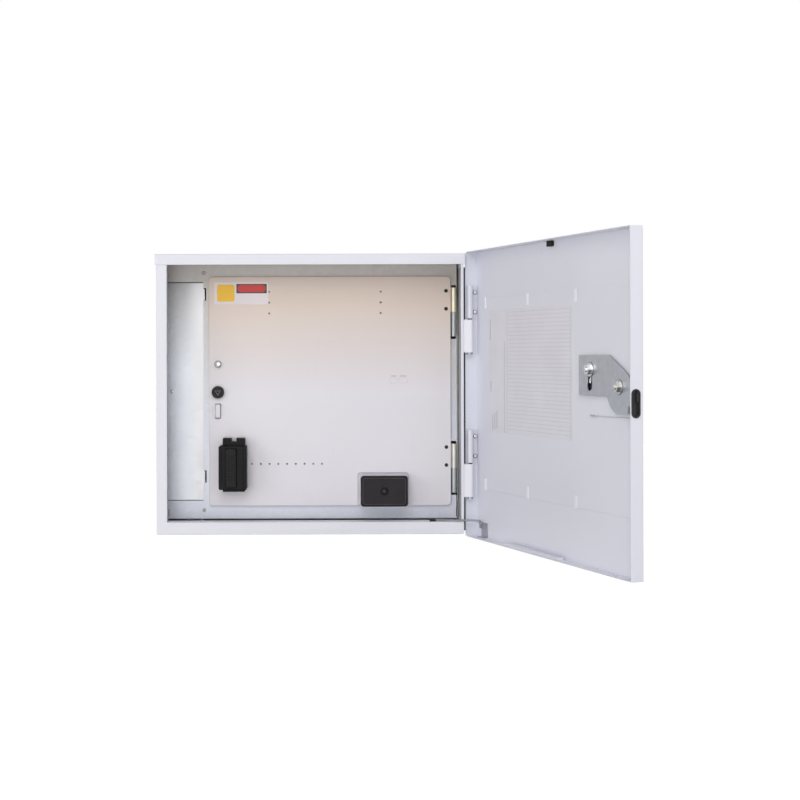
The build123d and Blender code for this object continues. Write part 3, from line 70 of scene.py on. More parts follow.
# The door's own directions at rest, from the opening angle that its joint states.
door_joint = next(joint for joint in frame["joints"] if joint["name"] == "door_swing")
door_axis = Vector(door_joint["pos_m"])
door_turn = radians(-door_joint["range_deg"][0])
door_across = Vector((-cos(door_turn), -sin(door_turn), 0))
door_inward = Vector((-sin(door_turn), cos(door_turn), 0))

# Colours as they read on the object, in linear light.
CASE_WHITE = (0.745, 0.745, 0.80)
# Painted shade: the darker colour of the case's paint inside the case.
CASE_INSIDE_SHADE = (0.39, 0.39, 0.40)
DOOR_WHITE = (0.755, 0.762, 0.835)
BLOCK_WHITE = (0.81, 0.81, 0.86)
# Painted highlight: the liner's clips whiter than the door, for the bright lights along them.
CLIP_HIGHLIGHT_WHITE = (0.86, 0.86, 0.90)
ZINC_GREY = (0.69, 0.715, 0.79)
# Painted shade: the duller, warmer zinc at the top of the recess.
ZINC_TOP_SHADE = (0.54, 0.51, 0.47)
# Painted light and shade: the right rail's zinc is lighter than the frame's so the groove it lines reads less
# dark, and near black at the top where that groove is shaded.
RAIL_LIT_GREY = (0.85, 0.85, 0.86)
RAIL_TOP_SHADE = (0.20, 0.20, 0.20)
COVER_GREY = (0.74, 0.765, 0.83)
# Painted shade at the top of the duct cover, and painted light on its side towards the panel.
COVER_TOP_SHADE = (0.38, 0.37, 0.36)
COVER_LIT_SIDE = (0.74, 0.74, 0.755)
BOARD_WHITE = (0.785, 0.757, 0.80)
# Painted shade: the warmer, darker board at the top of the recess.
BOARD_TOP_SHADE = (0.69, 0.58, 0.50)
LATCH_GREY = (0.54, 0.57, 0.61)
PIVOT_GREY = (0.70, 0.69, 0.67)
SCREW_GREY = (0.60, 0.60, 0.59)
SCREW_DULL = (0.50, 0.50, 0.51)
NUT_BRIGHT = (0.80, 0.81, 0.84)
BOLT_GREY = (0.34, 0.34, 0.35)
BRACKET_GREY = (0.40, 0.41, 0.46)
HASP_PALE = (0.71, 0.675, 0.71)
YELLOW_ZINC = (0.78, 0.74, 0.52)
YELLOW_SECOND = (0.72, 0.70, 0.56)
PALE_ZINC = (0.66, 0.63, 0.56)
PALE_SECOND = (0.62, 0.60, 0.58)
SILVER_ZINC = (0.42, 0.45, 0.46)
STAY_GREY = (0.20, 0.21, 0.23)
LATCH_WIRE_GREY = (0.62, 0.62, 0.66)
SLEEVE_GREY = (0.16, 0.15, 0.16)
# Painted contact shade round the latch's stud washers.
RING_SHADE_GREY = (0.22, 0.23, 0.26)
# Partly painted highlight: the near-white roller end in the latch's slot, and the painted glint on the
# sealing bolt.
ROLLER_AND_GLINT_BRIGHT = (0.92, 0.93, 0.95)
PIN_GREY = (0.35, 0.35, 0.36)
DARK_STEEL = (0.035, 0.035, 0.04)
BRASS = (0.60, 0.43, 0.16)
SOFT_BLACK = (0.006, 0.006, 0.0063)
KNOB_BLACK = (0.024, 0.023, 0.024)
WARM_BLACK = (0.022, 0.019, 0.021)
CARRIER_BLACK = (0.012, 0.011, 0.0115)
# Painted shade of the well round the link cover's screw.
WELL_SHADE_BLACK = (0.008, 0.008, 0.009)
RUBBER_BLACK = (0.02, 0.02, 0.02)
KEY_GREY = (0.20, 0.19, 0.20)
# Painted shade round the board's drilled holes.
HOLE_SHADE_BROWN = (0.16, 0.13, 0.12)
FOOT_GREY = (0.62, 0.61, 0.66)
FOOT_SHADE = (0.36, 0.34, 0.36)
# Painted highlight along the link cover's rounded edge.
RIM_HIGHLIGHT_GREY = (0.055, 0.052, 0.058)
# Painted shadow: the dark lines along the duct cover's edges.
SHADOW_LINE_GREY = (0.16, 0.155, 0.16)
# Painted shade: near black, for thin sheets laid where only shade falls.
SHADE_BLACK = (0.004, 0.004, 0.005)
CARD_WHITE = (0.76, 0.75, 0.805)
RULE_GREY = (0.58, 0.56, 0.61)
BAR_GREY = (0.46, 0.46, 0.52)
STAMP_GREY = (0.55, 0.50, 0.50)
LABEL_WHITE = (0.72, 0.66, 0.67)
LABEL_YELLOW = (0.80, 0.47, 0.03)
LABEL_RED = (0.50, 0.035, 0.03)
LABEL_BLACK = (0.045, 0.03, 0.03)
FLOOR_GREY = (0.60, 0.60, 0.61)
WHITE = (1.0, 1.0, 1.0)
BLACK = (0.0, 0.0, 0.0)


class Graph:
    """A small helper that adds and wires nodes in one tree."""

    def __init__(self, tree):
        self.tree = tree
        self.nodes = tree.nodes

    def add(self, kind, **settings):
        node = self.nodes.new(kind)
        for name, value in settings.items():
            setattr(node, name, value)
        return node

    def join(self, source, target):
        self.tree.links.new(source, target)

    def feed(self, socket, value):
        """Sets a socket to a number, a vector or a colour, or wires it to another socket."""
        if isinstance(value, (int, float)):
            socket.default_value = value
        elif isinstance(value, tuple):
            socket.default_value = value if socket.type == "VECTOR" else (*value, 1)
        else:
            self.join(value, socket)

    def read(self, kind, inputs, output=0, **settings):
        """Adds a node, feeds its inputs and gives one of its outputs."""
        node = self.add(kind, **settings)
        for name, value in inputs.items():
            self.feed(node.inputs[name], value)
        return node.outputs[output]

    def math(self, operation, first, second=0.0, clamp=False):
        return self.read("ShaderNodeMath", {0: first, 1: second}, operation=operation, use_clamp=clamp)

    def vector(self, operation, first, second, output="Vector"):
        return self.read("ShaderNodeVectorMath", {0: first, 1: second}, output, operation=operation)

    def ramp(self, value, low, high, start=0.0, end=1.0, shape="LINEAR"):
        limits = {"Value": value, "From Min": low, "From Max": high, "To Min": start, "To Max": end}
        return self.read("ShaderNodeMapRange", limits, interpolation_type=shape)

    def mix(self, amount, first, second, blend="MIX"):
        inputs = {0: amount, 6: first, 7: second}
        return self.read("ShaderNodeMix", inputs, 2, data_type="RGBA", blend_type=blend)

    def lay(self, base, mask, share, colour):
        """Lays a colour over another where a mask says, at a share of its strength."""
        return self.mix(self.math("MULTIPLY", mask, share), base, colour)

    def noise(self, vector, scale, detail, rough=0.5):
        inputs = {"Vector": vector, "Scale": scale, "Detail": detail, "Roughness": rough}
        return self.read("ShaderNodeTexNoise", inputs, "Fac")

    def cells(self, vector, scale, output):
        return self.read("ShaderNodeTexVoronoi", {"Vector": vector, "Scale": scale}, output)

    def stretched(self, vector, x, y, z):
        return self.read("ShaderNodeMapping", {"Vector": vector, "Scale": (x, y, z)})

    def place(self):
        return self.add("ShaderNodeTexCoord").outputs["Object"]

    def split(self, vector):
        """A vector's three coordinates, by name."""
        node = self.add("ShaderNodeSeparateXYZ")
        self.join(vector, node.inputs[0])
        return node.outputs


def broadest_rise(name, direction):
    """How far a node's broadest face that looks along a direction lies from the door's hinge axis."""
    node = frame["nodes"][name]
    areas = {}
    for polygon in node.data.polygons:
        if polygon.normal.dot(direction) > 0.99:
            spot = node.matrix_world @ node.data.vertices[polygon.vertices[0]].co
            rise = round((spot - door_axis).dot(direction), 5)
            areas[rise] = areas.get(rise, 0) + polygon.area
    return max(areas, key=areas.get)


def door_spot(name, across, height):
    """A point on a door piece's inner face, in mm from the hinge axis, given in the piece's own frame."""
    rise = broadest_rise(name, door_inward)
    spot = door_axis + door_inward * rise + door_across * (across * MM) + UP * (height * MM - door_axis.z)
    return tuple(frame["nodes"][name].matrix_world.inverted() @ spot)


def new_group(name, inputs, outputs):
    """Node group with named sockets: returns its graph, what it is given and its output node."""
    tree = bpy.data.node_groups.new(name, "ShaderNodeTree")
    for label, kind, value in inputs:
        tree.interface.new_socket(name=label, in_out="INPUT", socket_type=kind).default_value = value
    for label, kind in outputs:
        tree.interface.new_socket(name=label, in_out="OUTPUT", socket_type=kind)
    graph = Graph(tree)
    return graph, graph.add("NodeGroupInput").outputs, graph.add("NodeGroupOutput")


def put_out(graph, result, **values):
    """Joins a group's results to its named outputs, and returns the group."""
    for name, value in values.items():
        graph.join(value, result.inputs[name])
    return graph.tree


def make_edge_group():
    """Mask of worn edges: where the rounded normal parts from the flat one, broken up by noise."""
    graph, given, result = new_group(
        "worn_edges",
        [("Radius", FLOAT, 0.001), ("Break Up", FLOAT, 90.0)],
        [("Mask", FLOAT), ("Normal", VECTOR)],
    )
    rounded = graph.read("ShaderNodeBevel", {"Radius": given["Radius"]}, samples=4)
    flat = graph.add("ShaderNodeNewGeometry").outputs["Normal"]
    edge = graph.ramp(graph.vector("DOT_PRODUCT", rounded, flat, "Value"), 0.995, 0.80)
    broken = graph.ramp(graph.noise(graph.place(), given["Break Up"], detail=6), 0.45, 0.62)
    mask = graph.math("MULTIPLY", edge, broken, clamp=True)
    return put_out(graph, result, Mask=mask, Normal=rounded)


def make_peel_group():
    """Fine pitted skin of a sprayed or moulded surface."""
    graph, given, result = new_group("pitted_skin", [("Scale", FLOAT, 900.0)], [("Height", FLOAT)])
    place = graph.place()
    pits = graph.math("MULTIPLY", graph.cells(place, given["Scale"], "Distance"), 0.5)
    fine = graph.noise(place, given["Scale"], detail=3)
    return put_out(graph, result, Height=graph.math("ADD", pits, fine))


def make_handled_group():
    """Slow cloudy tone and small rubbed marks of a surface that has been handled."""
    graph, given, result = new_group(
        "handled_surface",
        [("Cloud Scale", FLOAT, 5.0), ("Mark Scale", FLOAT, 60.0)],
        [("Cloud", FLOAT), ("Marks", FLOAT)],
    )
    place = graph.place()
    cloud = graph.noise(place, given["Cloud Scale"], detail=5)
    marks = graph.noise(graph.stretched(place, 1.0, 1.0, 0.35), given["Mark Scale"], detail=8, rough=0.7)
    return put_out(graph, result, Cloud=graph.ramp(cloud, 0.3, 0.7), Marks=graph.ramp(marks, 0.60, 0.72))


def make_spangle_group():
    """Feathered crystals of hot-dip zinc."""
    graph, given, result = new_group(
        "zinc_spangle", [("Scale", FLOAT, 70.0)], [("Tone", FLOAT), ("Height", FLOAT)]
    )
    place = graph.place()
    shift = {0: graph.noise(place, 35.0, detail=3, rough=0.55), 1: (0.012, 0.012, 0.012), 2: place}
    shifted = graph.read("ShaderNodeVectorMath", shift, operation="MULTIPLY_ADD")
    crystals = graph.read("ShaderNodeSeparateColor", {0: graph.cells(shifted, given["Scale"], "Color")})
    feather = graph.noise(place, 500.0, detail=2, rough=0.55)
    tone = graph.math("ADD", graph.math("MULTIPLY", crystals, 0.7), graph.math("MULTIPLY", feather, 0.3))
    return put_out(graph, result, Tone=tone, Height=feather)


def make_top_shade_group():
    """Amount of painted shade, warmer and duller, towards the top of the recess, by height."""
    graph, given, result = new_group(
        "painted_top_shade", [("Start", FLOAT, 0.0), ("End", FLOAT, 0.2)], [("Amount", FLOAT)]
    )
    height = graph.split(graph.place())["Z"]
    return put_out(graph, result, Amount=graph.ramp(height, given["Start"], given["End"]))


def make_drawn_group():
    """Fine lines of rolled or drawn metal, along one direction."""
    graph, given, result = new_group("drawn_lines", [("Fineness", FLOAT, 700.0)], [("Lines", FLOAT)])
    lines = graph.noise(graph.stretched(graph.place(), 1.0, 1.0, 0.02), given["Fineness"], detail=4)
    return put_out(graph, result, Lines=graph.ramp(lines, 0.3, 0.7))


def make_flank_group():
    """Painted shade on the flanks of a nut or screw head that turn from an axis, less on those that look
    upwards.
    """
    graph, given, result = new_group(
        "painted_flank_shade", [("Axis", VECTOR, (0, -1, 0)), ("Upper", FLOAT, 0.1)], [("Mask", FLOAT)]
    )
    normal = graph.add("ShaderNodeTexCoord").outputs["Normal"]
    flank = graph.ramp(graph.vector("DOT_PRODUCT", normal, given["Axis"], "Value"), 0.92, 0.60)
    facing_down = graph.ramp(graph.split(normal)["Z"], -0.6, 0.1, 1.0, given["Upper"])
    return put_out(graph, result, Mask=graph.math("MULTIPLY", flank, facing_down, clamp=True))


def make_slot_shade_group():
    """An oblong round the line between two points of the object, for painted shade round a slot."""
    graph, given, result = new_group(
        "oblong",
        [("Start", VECTOR, (0, 0, 0)), ("End", VECTOR, (0, 0, 1)), ("Radius", FLOAT, 0.01)],
        [("Mask", FLOAT)],
    )
    length = graph.vector("SUBTRACT", given["End"], given["Start"])
    reach = graph.vector("SUBTRACT", graph.place(), given["Start"])
    along = graph.vector("DOT_PRODUCT", reach, length, "Value")
    share = graph.math("DIVIDE", along, graph.vector("DOT_PRODUCT", length, length, "Value"), clamp=True)
    foot = graph.read("ShaderNodeVectorMath", {0: length, "Scale": share}, operation="SCALE")
    inside = graph.math("SUBTRACT", given["Radius"], graph.vector("DISTANCE", reach, foot, "Value"))
    sharpness = 2500.0
    return put_out(graph, result, Mask=graph.math("MULTIPLY", inside, sharpness, clamp=True))


EDGES = make_edge_group()
PEEL = make_peel_group()
HANDLED = make_handled_group()
SPANGLE = make_spangle_group()
DRAWN = make_drawn_group()
# Painted shade towards the top of the recess.
TOP_SHADE = make_top_shade_group()
# Painted shade on the flanks of nuts and screw heads.
FLANK_SHADE = make_flank_group()
SLOT_SHADE_OBLONG = make_slot_shade_group()


def shaded(name, roughness, metallic=0.0):
    """Material with its shader: returns the material, its graph and the shader node."""
    material = bpy.data.materials.new(name)
    material.use_nodes = True
    graph = Graph(material.node_tree)
    shader = graph.nodes["Principled BSDF"]
    shader.inputs["Roughness"].default_value = roughness
    shader.inputs["Metallic"].default_value = metallic
    return material, graph, shader


def place_group(graph, tree, **values):
    """A copy of a shared group in a material, with its own values: returns what it puts out."""
    node = graph.add("ShaderNodeGroup", node_tree=tree)
    for name, value in values.items():
        node.inputs[name.replace("_", " ").title()].default_value = value
    return node.outputs


def raise_normal(graph, shader, height, strength, distance, normal=None):
    """Bump that feeds the shader's normal, over a rounded normal where one is given."""
    inputs = {"Strength": strength, "Distance": distance, "Height": height}
    if normal is not None:
        inputs["Normal"] = normal
    graph.join(graph.read("ShaderNodeBump", inputs), shader.inputs["Normal"])


def vary_roughness(graph, shader, mask, low, high):
    """Roughness that follows a mask from a low to a high value."""
    graph.join(graph.ramp(mask, 0, 1, low, high), shader.inputs["Roughness"])


def scaled(colour, factor):
    """The same colour, lighter or darker."""
    return tuple(min(channel * factor, 1.0) for channel in colour)


def case_shade_mask(graph):
    """Mask of the faces that look into the case, where painted shade goes: within its walls, from behind its
    front to its back.
    """
    place = graph.split(graph.place())
    across = graph.math("LESS_THAN", graph.math("ABSOLUTE", place["X"]), inside_wall)
    behind = graph.math("GREATER_THAN", place["Y"], inside_front)
    before = graph.math("LESS_THAN", place["Y"], inside_back)
    upright = graph.math("LESS_THAN", graph.math("ABSOLUTE", place["Z"]), inside_height)
    deep = graph.math("MULTIPLY", behind, before)
    return graph.math("MULTIPLY", graph.math("MULTIPLY", across, deep), upright)


def shade_towards_top(graph, worn, colour, high, start, end):
    """A worn colour that turns, between two heights, to the painted shade it has at the top of the recess."""
    shade_amount = place_group(graph, TOP_SHADE, start=start, end=end)
    change = tuple(top / base for top, base in zip(high, colour))
    return graph.mix(1.0, worn, graph.mix(shade_amount["Amount"], WHITE, change), blend="MULTIPLY")


def powder_coat(name, colour, roughness=0.42, edge=0.0012, inside=None):
    """Sprayed and baked polyester paint on folded sheet, with painted shade in another colour inside the case
    where asked.
    """
    material, graph, shader = shaded(name, roughness)
    peel = place_group(graph, PEEL, scale=1100.0)
    handled = place_group(graph, HANDLED, cloud_scale=4.0, mark_scale=45.0)
    edges = place_group(graph, EDGES, radius=edge, break_up=140.0)
    clean = graph.mix(handled["Cloud"], scaled(colour, 0.975), scaled(colour, 1.02))
    rubbed = graph.lay(clean, handled["Marks"], 0.14, scaled(colour, 0.80))
    worn = graph.lay(rubbed, edges["Mask"], 0.25, scaled(colour, 0.84))
    # Painted shade: the given darker colour inside the case.
    if inside:
        worn = graph.mix(case_shade_mask(graph), worn, inside)
    graph.join(worn, shader.inputs["Base Color"])
    vary_roughness(graph, shader, handled["Cloud"], roughness - 0.05, roughness + 0.06)
    raise_normal(graph, shader, peel["Height"], 0.10, 0.0004, edges["Normal"])
    return material


def galvanised(name, colour, high, roughness=0.46, lit_side=None, start=-0.10, end=0.25):
    """Hot-dip galvanised sheet, left bare, with painted shade towards the top and a painted lighter side
    where asked.
    """
    material, graph, shader = shaded(name, roughness, metallic=0.15)
    spangle = place_group(graph, SPANGLE, scale=85.0)
    handled = place_group(graph, HANDLED, cloud_scale=6.0, mark_scale=70.0)
    edges = place_group(graph, EDGES, radius=0.0008, break_up=160.0)
    bright = graph.mix(spangle["Tone"], scaled(colour, 0.93), scaled(colour, 1.06))
    dulled = graph.lay(bright, handled["Cloud"], 0.35, scaled(colour, 0.86))
    worn = graph.lay(dulled, edges["Mask"], 0.5, scaled(colour, 1.25))
    # Painted shade towards the top of the recess.
    tone = shade_towards_top(graph, worn, colour, high, start, end)
    # Painted light: one side lighter, from one X to another, where asked.
    if lit_side:
        first, whole, lit_colour = lit_side
        lit_share = graph.ramp(graph.split(graph.place())["X"], first, whole, shape="SMOOTHSTEP")
        tone = graph.mix(lit_share, tone, lit_colour)
    graph.join(tone, shader.inputs["Base Color"])
    vary_roughness(graph, shader, spangle["Tone"], roughness - 0.07, roughness + 0.07)
    raise_normal(graph, shader, spangle["Height"], 0.06, 0.0004, edges["Normal"])
    return material


def plated(name, colour, roughness=0.34, second=None, metallic=0.85, shade_axis=None, upper=0.1, slot_shade=None):
    """Zinc-plated steel with a second tint, painted shade on the flanks round an axis and painted shade round
    a slot where asked.
    """
    material, graph, shader = shaded(name, roughness, metallic)
    drawn = place_group(graph, DRAWN, fineness=600.0)
    handled = place_group(graph, HANDLED, cloud_scale=45.0, mark_scale=240.0)
    edges = place_group(graph, EDGES, radius=0.0005, break_up=400.0)
    mottled = graph.mix(handled["Cloud"], colour, second or scaled(colour, 0.85))
    lined = graph.lay(mottled, drawn["Lines"], 0.18, scaled(colour, 0.75))
    worn = graph.lay(lined, edges["Mask"], 0.5, scaled(colour, 1.25))
    # Painted shade on the flanks that turn from the axis, where asked.
    if shade_axis:
        flanks = place_group(graph, FLANK_SHADE, axis=shade_axis, upper=upper)
        worn = graph.mix(flanks["Mask"], worn, scaled(colour, 0.12))
    # Painted shade: a dark oblong round the slot.
    if slot_shade:
        foot, head, radius = slot_shade
        oblong = place_group(graph, SLOT_SHADE_OBLONG, start=foot, end=head, radius=radius)
        worn = graph.mix(oblong["Mask"], worn, scaled(colour, 0.06))
    graph.join(worn, shader.inputs["Base Color"])
    vary_roughness(graph, shader, handled["Cloud"], roughness - 0.06, roughness + 0.10)
    raise_normal(graph, shader, drawn["Lines"], 0.04, 0.0002, edges["Normal"])
    return material


def moulded(name, colour, roughness=0.40, shine=0.13, behind=None):
    """Moulded plastic with a fine spark-eroded skin, in a second colour behind a given plane."""
    material, graph, shader = shaded(name, roughness)
    shader.inputs["Specular IOR Level"].default_value = shine
    peel = place_group(graph, PEEL, scale=2600.0)
    handled = place_group(graph, HANDLED, cloud_scale=30.0, mark_scale=180.0)
    edges = place_group(graph, EDGES, radius=0.0008, break_up=260.0)
    cloudy = graph.mix(handled["Cloud"], scaled(colour, 0.85), scaled(colour, 1.2))
    dusty = graph.lay(cloudy, handled["Marks"], 0.25, scaled(colour, 2.2))
    rubbed = graph.lay(dusty, edges["Mask"], 0.5, scaled(colour, 3.0))
    if behind:
        plane, second = behind
        past = graph.math("GREATER_THAN", graph.split(graph.place())["Y"], plane)
        rubbed = graph.mix(past, rubbed, second)
    graph.join(rubbed, shader.inputs["Base Color"])
    vary_roughness(graph, shader, handled["Cloud"], roughness - 0.06, roughness + 0.08)
    raise_normal(graph, shader, peel["Height"], 0.16, 0.0002, edges["Normal"])
    return material


def pressed_board(name, colour, high):
    """Insulating board: pressed sheet with a faint mottle and fine fibres, with painted warm shade towards
    the top of the recess.
    """
    material, graph, shader = shaded(name, 0.55)
    handled = place_group(graph, HANDLED, cloud_scale=3.2, mark_scale=26.0)
    peel = place_group(graph, PEEL, scale=1500.0)
    edges = place_group(graph, EDGES, radius=0.0012, break_up=120.0)
    fibres = graph.noise(graph.stretched(graph.place(), 9.0, 9.0, 1.0), 160.0, detail=5, rough=0.55)
    cloudy = graph.mix(handled["Cloud"], scaled(colour, 0.97), scaled(colour, 1.02))
    fibrous = graph.mix(graph.ramp(fibres, 0.5, 0.75, 0.0, 0.10), cloudy, scaled(colour, 0.78))
    rubbed = graph.lay(fibrous, handled["Marks"], 0.10, scaled(colour, 0.75))
    worn = graph.lay(rubbed, edges["Mask"], 0.4, scaled(colour, 0.72))
    # Painted warm shade towards the top of the recess.
    graph.join(shade_towards_top(graph, worn, colour, high, 0.0, 0.20), shader.inputs["Base Color"])
    graph.join(graph.ramp(fibres, 0.3, 0.7, 0.50, 0.62), shader.inputs["Roughness"])
    raise_normal(graph, shader, peel["Height"], 0.08, 0.0003, edges["Normal"])
    return material


def printed_sheet(name, colour):
    """Paper or film, with a fine uneven tone."""
    material, graph, shader = shaded(name, 0.5)
    handled = place_group(graph, HANDLED, cloud_scale=14.0, mark_scale=120.0)
    grain = graph.noise(graph.place(), 1400.0, detail=3, rough=0.55)
    cloudy = graph.mix(handled["Cloud"], scaled(colour, 0.96), scaled(colour, 1.03))
    grained = graph.mix(graph.ramp(grain, 0.4, 0.7, 0.0, 0.12), cloudy, scaled(colour, 0.85))
    graph.join(grained, shader.inputs["Base Color"])
    graph.join(graph.ramp(grain, 0.3, 0.7, 0.44, 0.56), shader.inputs["Roughness"])
    raise_normal(graph, shader, grain, 0.05, 0.0002)
    return material


case_coat = powder_coat("case_coat", CASE_WHITE, inside=CASE_INSIDE_SHADE)
roof_coat = powder_coat("roof_coat", CASE_WHITE, roughness=0.38)
door_coat = powder_coat("door_coat", DOOR_WHITE)
block_coat = powder_coat("hinge_block_coat", BLOCK_WHITE, roughness=0.34, edge=0.0006)
hasp_coat = powder_coat("hasp_coat", HASP_PALE, roughness=0.4, edge=0.0006)
# The liner's clips, in a painted highlight.
clip_highlight_coat = powder_coat("clip_highlight_coat", CLIP_HIGHLIGHT_WHITE, roughness=0.36, edge=0.0006)
hinge_coat = powder_coat("hinge_coat", scaled(DOOR_WHITE, 0.93), roughness=0.36, edge=0.0006)

frame_sheet = galvanised("frame_zinc", ZINC_GREY, ZINC_TOP_SHADE)
# The right rail: painted light in a zinc lighter than the frame's, with painted shade at its top.
rail_sheet = galvanised("rail_zinc", RAIL_LIT_GREY, RAIL_TOP_SHADE, start=0.12, end=0.22)
# The duct cover: painted light on its side towards the panel, across these X, and painted shade at its top.
lit_from, lit_to = -0.277, -0.236
cover_lit_side = (lit_from, lit_to, COVER_LIT_SIDE)
cover_sheet = galvanised(
    "cover_zinc", COVER_GREY, COVER_TOP_SHADE, roughness=0.40, lit_side=cover_lit_side, start=0.05
)

facing_in, facing_across = tuple(door_inward), tuple(door_across)
# Painted shade round the latch's slot: its place across, its foot and head, in mm, and its radius.
slot_reach, slot_foot, slot_head, slot_radius = 499.5, 25.5, 38.0, 8.2 * MM
slot_ends = [door_spot("latch_plate", slot_reach, height) for height in (slot_foot, slot_head)]
latch_metal = plated("latch_zinc", LATCH_GREY, roughness=0.36, slot_shade=(*slot_ends, slot_radius))
pivot_metal = plated("pivot_zinc", PIVOT_GREY, roughness=0.25, shade_axis=facing_in)
screw_metal = plated("screw_zinc", SCREW_GREY, roughness=0.22)
latch_nut_metal = plated("latch_nut_zinc", NUT_BRIGHT, roughness=0.2, shade_axis=facing_in)
door_screw_metal = plated("door_screw_zinc", NUT_BRIGHT, roughness=0.2, shade_axis=facing_across, upper=0.9)
dull_screw = plated("dull_screw", SCREW_DULL, roughness=0.45, metallic=0.15)
silver_metal = plated("silver_zinc", SILVER_ZINC, roughness=0.36, metallic=0.35)
yellow_metal = plated("yellow_zinc", YELLOW_ZINC, second=YELLOW_SECOND, metallic=0.35)
pale_metal = plated("pale_zinc", PALE_ZINC, second=PALE_SECOND, metallic=0.35)
brass_metal = plated("brass_metal", BRASS, roughness=0.28)
stay_metal = plated("wire_zinc", STAY_GREY, metallic=0.4)
bracket_metal = plated("bracket_zinc", BRACKET_GREY, roughness=0.36, metallic=0.3)
bolt_metal = plated("seal_bolt_zinc", BOLT_GREY, roughness=0.36, metallic=0.3)
ring_shade_metal = plated("ring_shade_steel", RING_SHADE_GREY, roughness=0.4, metallic=0.3)
latch_wire_metal = plated("line_steel", LATCH_WIRE_GREY, metallic=0.2)
sleeve_metal = plated("sleeve_steel", SLEEVE_GREY, roughness=0.4, metallic=0.3)
roller_and_glint_metal = plated("roller_and_glint_steel", ROLLER_AND_GLINT_BRIGHT, roughness=0.25, metallic=0.3)
pin_metal = plated("pin_steel", PIN_GREY, roughness=0.32)
dark_metal = plated("dark_steel", DARK_STEEL, roughness=0.40)

black_moulding = moulded("black_moulding", SOFT_BLACK, shine=0.1)
knob_moulding = moulded("knob_moulding", KNOB_BLACK, roughness=0.6, shine=0.2)
carrier_moulding = moulded("carrier_moulding", CARRIER_BLACK, shine=0.10)
cover_lip = 5 * MM
link_body = (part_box("link_cover")[0].y + cover_lip, FOOT_GREY)
link_moulding = moulded("link_cover_moulding", WARM_BLACK, roughness=0.42, shine=0.12, behind=link_body)
rim_highlight_moulding = moulded("link_rim_highlight", RIM_HIGHLIGHT_GREY, shine=0.15)
key_moulding = moulded("lock_key_moulding", KEY_GREY, roughness=0.5)
drill_shade = moulded("drill_shade", HOLE_SHADE_BROWN, roughness=0.7, shine=0.05)
well_shade_moulding = moulded("screw_well_shade", WELL_SHADE_BLACK, roughness=0.6)
rubber = moulded("black_rubber", RUBBER_BLACK, roughness=0.62)
link_foot = moulded("link_foot_moulding", FOOT_GREY, roughness=0.5)
# Painted shade, for sheets laid in openings and gaps.
shade_black = moulded("shade_black", SHADE_BLACK, roughness=0.8, shine=0.05)
shadow_line_grey = moulded("shadow_line_grey", SHADOW_LINE_GREY, roughness=0.7, shine=0.1)

board = pressed_board("insulating_board", BOARD_WHITE, BOARD_TOP_SHADE)
card_paper = printed_sheet("card_paper", CARD_WHITE)
label_film = printed_sheet("label_film", LABEL_WHITE)
rule_ink = printed_sheet("rule_ink", RULE_GREY)
bar_ink = printed_sheet("bar_ink", BAR_GREY)
stamp_ink = printed_sheet("stamp_ink", STAMP_GREY)
foot_shade = printed_sheet("foot_shadow", FOOT_SHADE)
label_yellow = printed_sheet("label_yellow", LABEL_YELLOW)
label_red = printed_sheet("label_red", LABEL_RED)
label_black = printed_sheet("label_black", LABEL_BLACK)

FINISHES = {
    case_coat: ["box_shell"],
    roof_coat: ["roof_cap"],
    door_coat: ["door_skin", "door_liner"],
    block_coat: ["door_hinge_block_upper", "door_hinge_block_lower"],
    hasp_coat: ["seal_hasp"],
    clip_highlight_coat: ["liner_clips"],
    hinge_coat: ["door_hinge_leaf_upper", "door_hinge_leaf_lower", "drip_strip"],
    latch_wire_metal: ["latch_wire"],
    frame_sheet: ["inner_frame", "frame_rail_left", "duct_partition"],
    rail_sheet: ["frame_rail_right"],
    cover_sheet: ["duct_cover"],
    latch_metal: ["latch_plate"],
    dull_screw: ["frame_screws"],
    bolt_metal: ["seal_bolt"],
    screw_metal: ["duct_cover_screw", "hinge_block_screws", "link_fixings"],
    door_screw_metal: ["door_hinge_screws"],
    latch_nut_metal: ["latch_guide_stud", "latch_guide_nut"],
    pivot_metal: ["latch_pivot_stud", "latch_pivot_nut"],
    silver_metal: ["frame_hinge_leaf_upper", "frame_hinge_leaf_lower", "lock_cam"],
    bracket_metal: ["stay_bracket"],
    yellow_metal: ["panel_hinge_leaf_upper"],
    pale_metal: ["panel_hinge_leaf_lower"],
    dark_metal: ["panel_hinge_screws", "door_hinge_washers", "link_cover_screw"],
    brass_metal: ["fuse_jaws", "fuse_studs", "fuse_blades", "link_bar", "link_screws"],
    stay_metal: ["stay_rod"],
    pin_metal: [
        "panel_hinge_pin_upper",
        "panel_hinge_pin_lower",
        "door_hinge_pin_upper",
        "door_hinge_pin_lower",
    ],
    black_moulding: ["fuse_base"],
    knob_moulding: ["latch_bezel", "latch_thumb", "lock_knob"],
    link_moulding: ["link_cover"],
    carrier_moulding: ["fuse_carrier"],
    rubber: ["top_bumper", "stay_boot", "door_seal"],
    link_foot: ["link_base"],
    board: ["meter_panel"],
    card_paper: ["record_card"],
    label_film: ["panel_label"],
}


def dress_nodes():
    """Gives each carried-over solid its finish."""
    for material, names in FINISHES.items():
        for name in names:
            slots = frame["nodes"][name].data.materials
            slots.clear()
            slots.append(material)


def new_object(name, data):
    """An object with the given data, linked to the scene."""
    made = bpy.data.objects.new(name, data)
    bpy.context.scene.collection.objects.link(made)
    return made


def new_piece(name, bm, material, body):
    """Adds the built faces as a piece that rides on a body."""
    mesh = bpy.data.meshes.new(name)
    bm.normal_update()
    bm.to_mesh(mesh)
    bm.free()
    mesh.materials.append(material)
    piece = new_object(name, mesh)
    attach(piece, body)


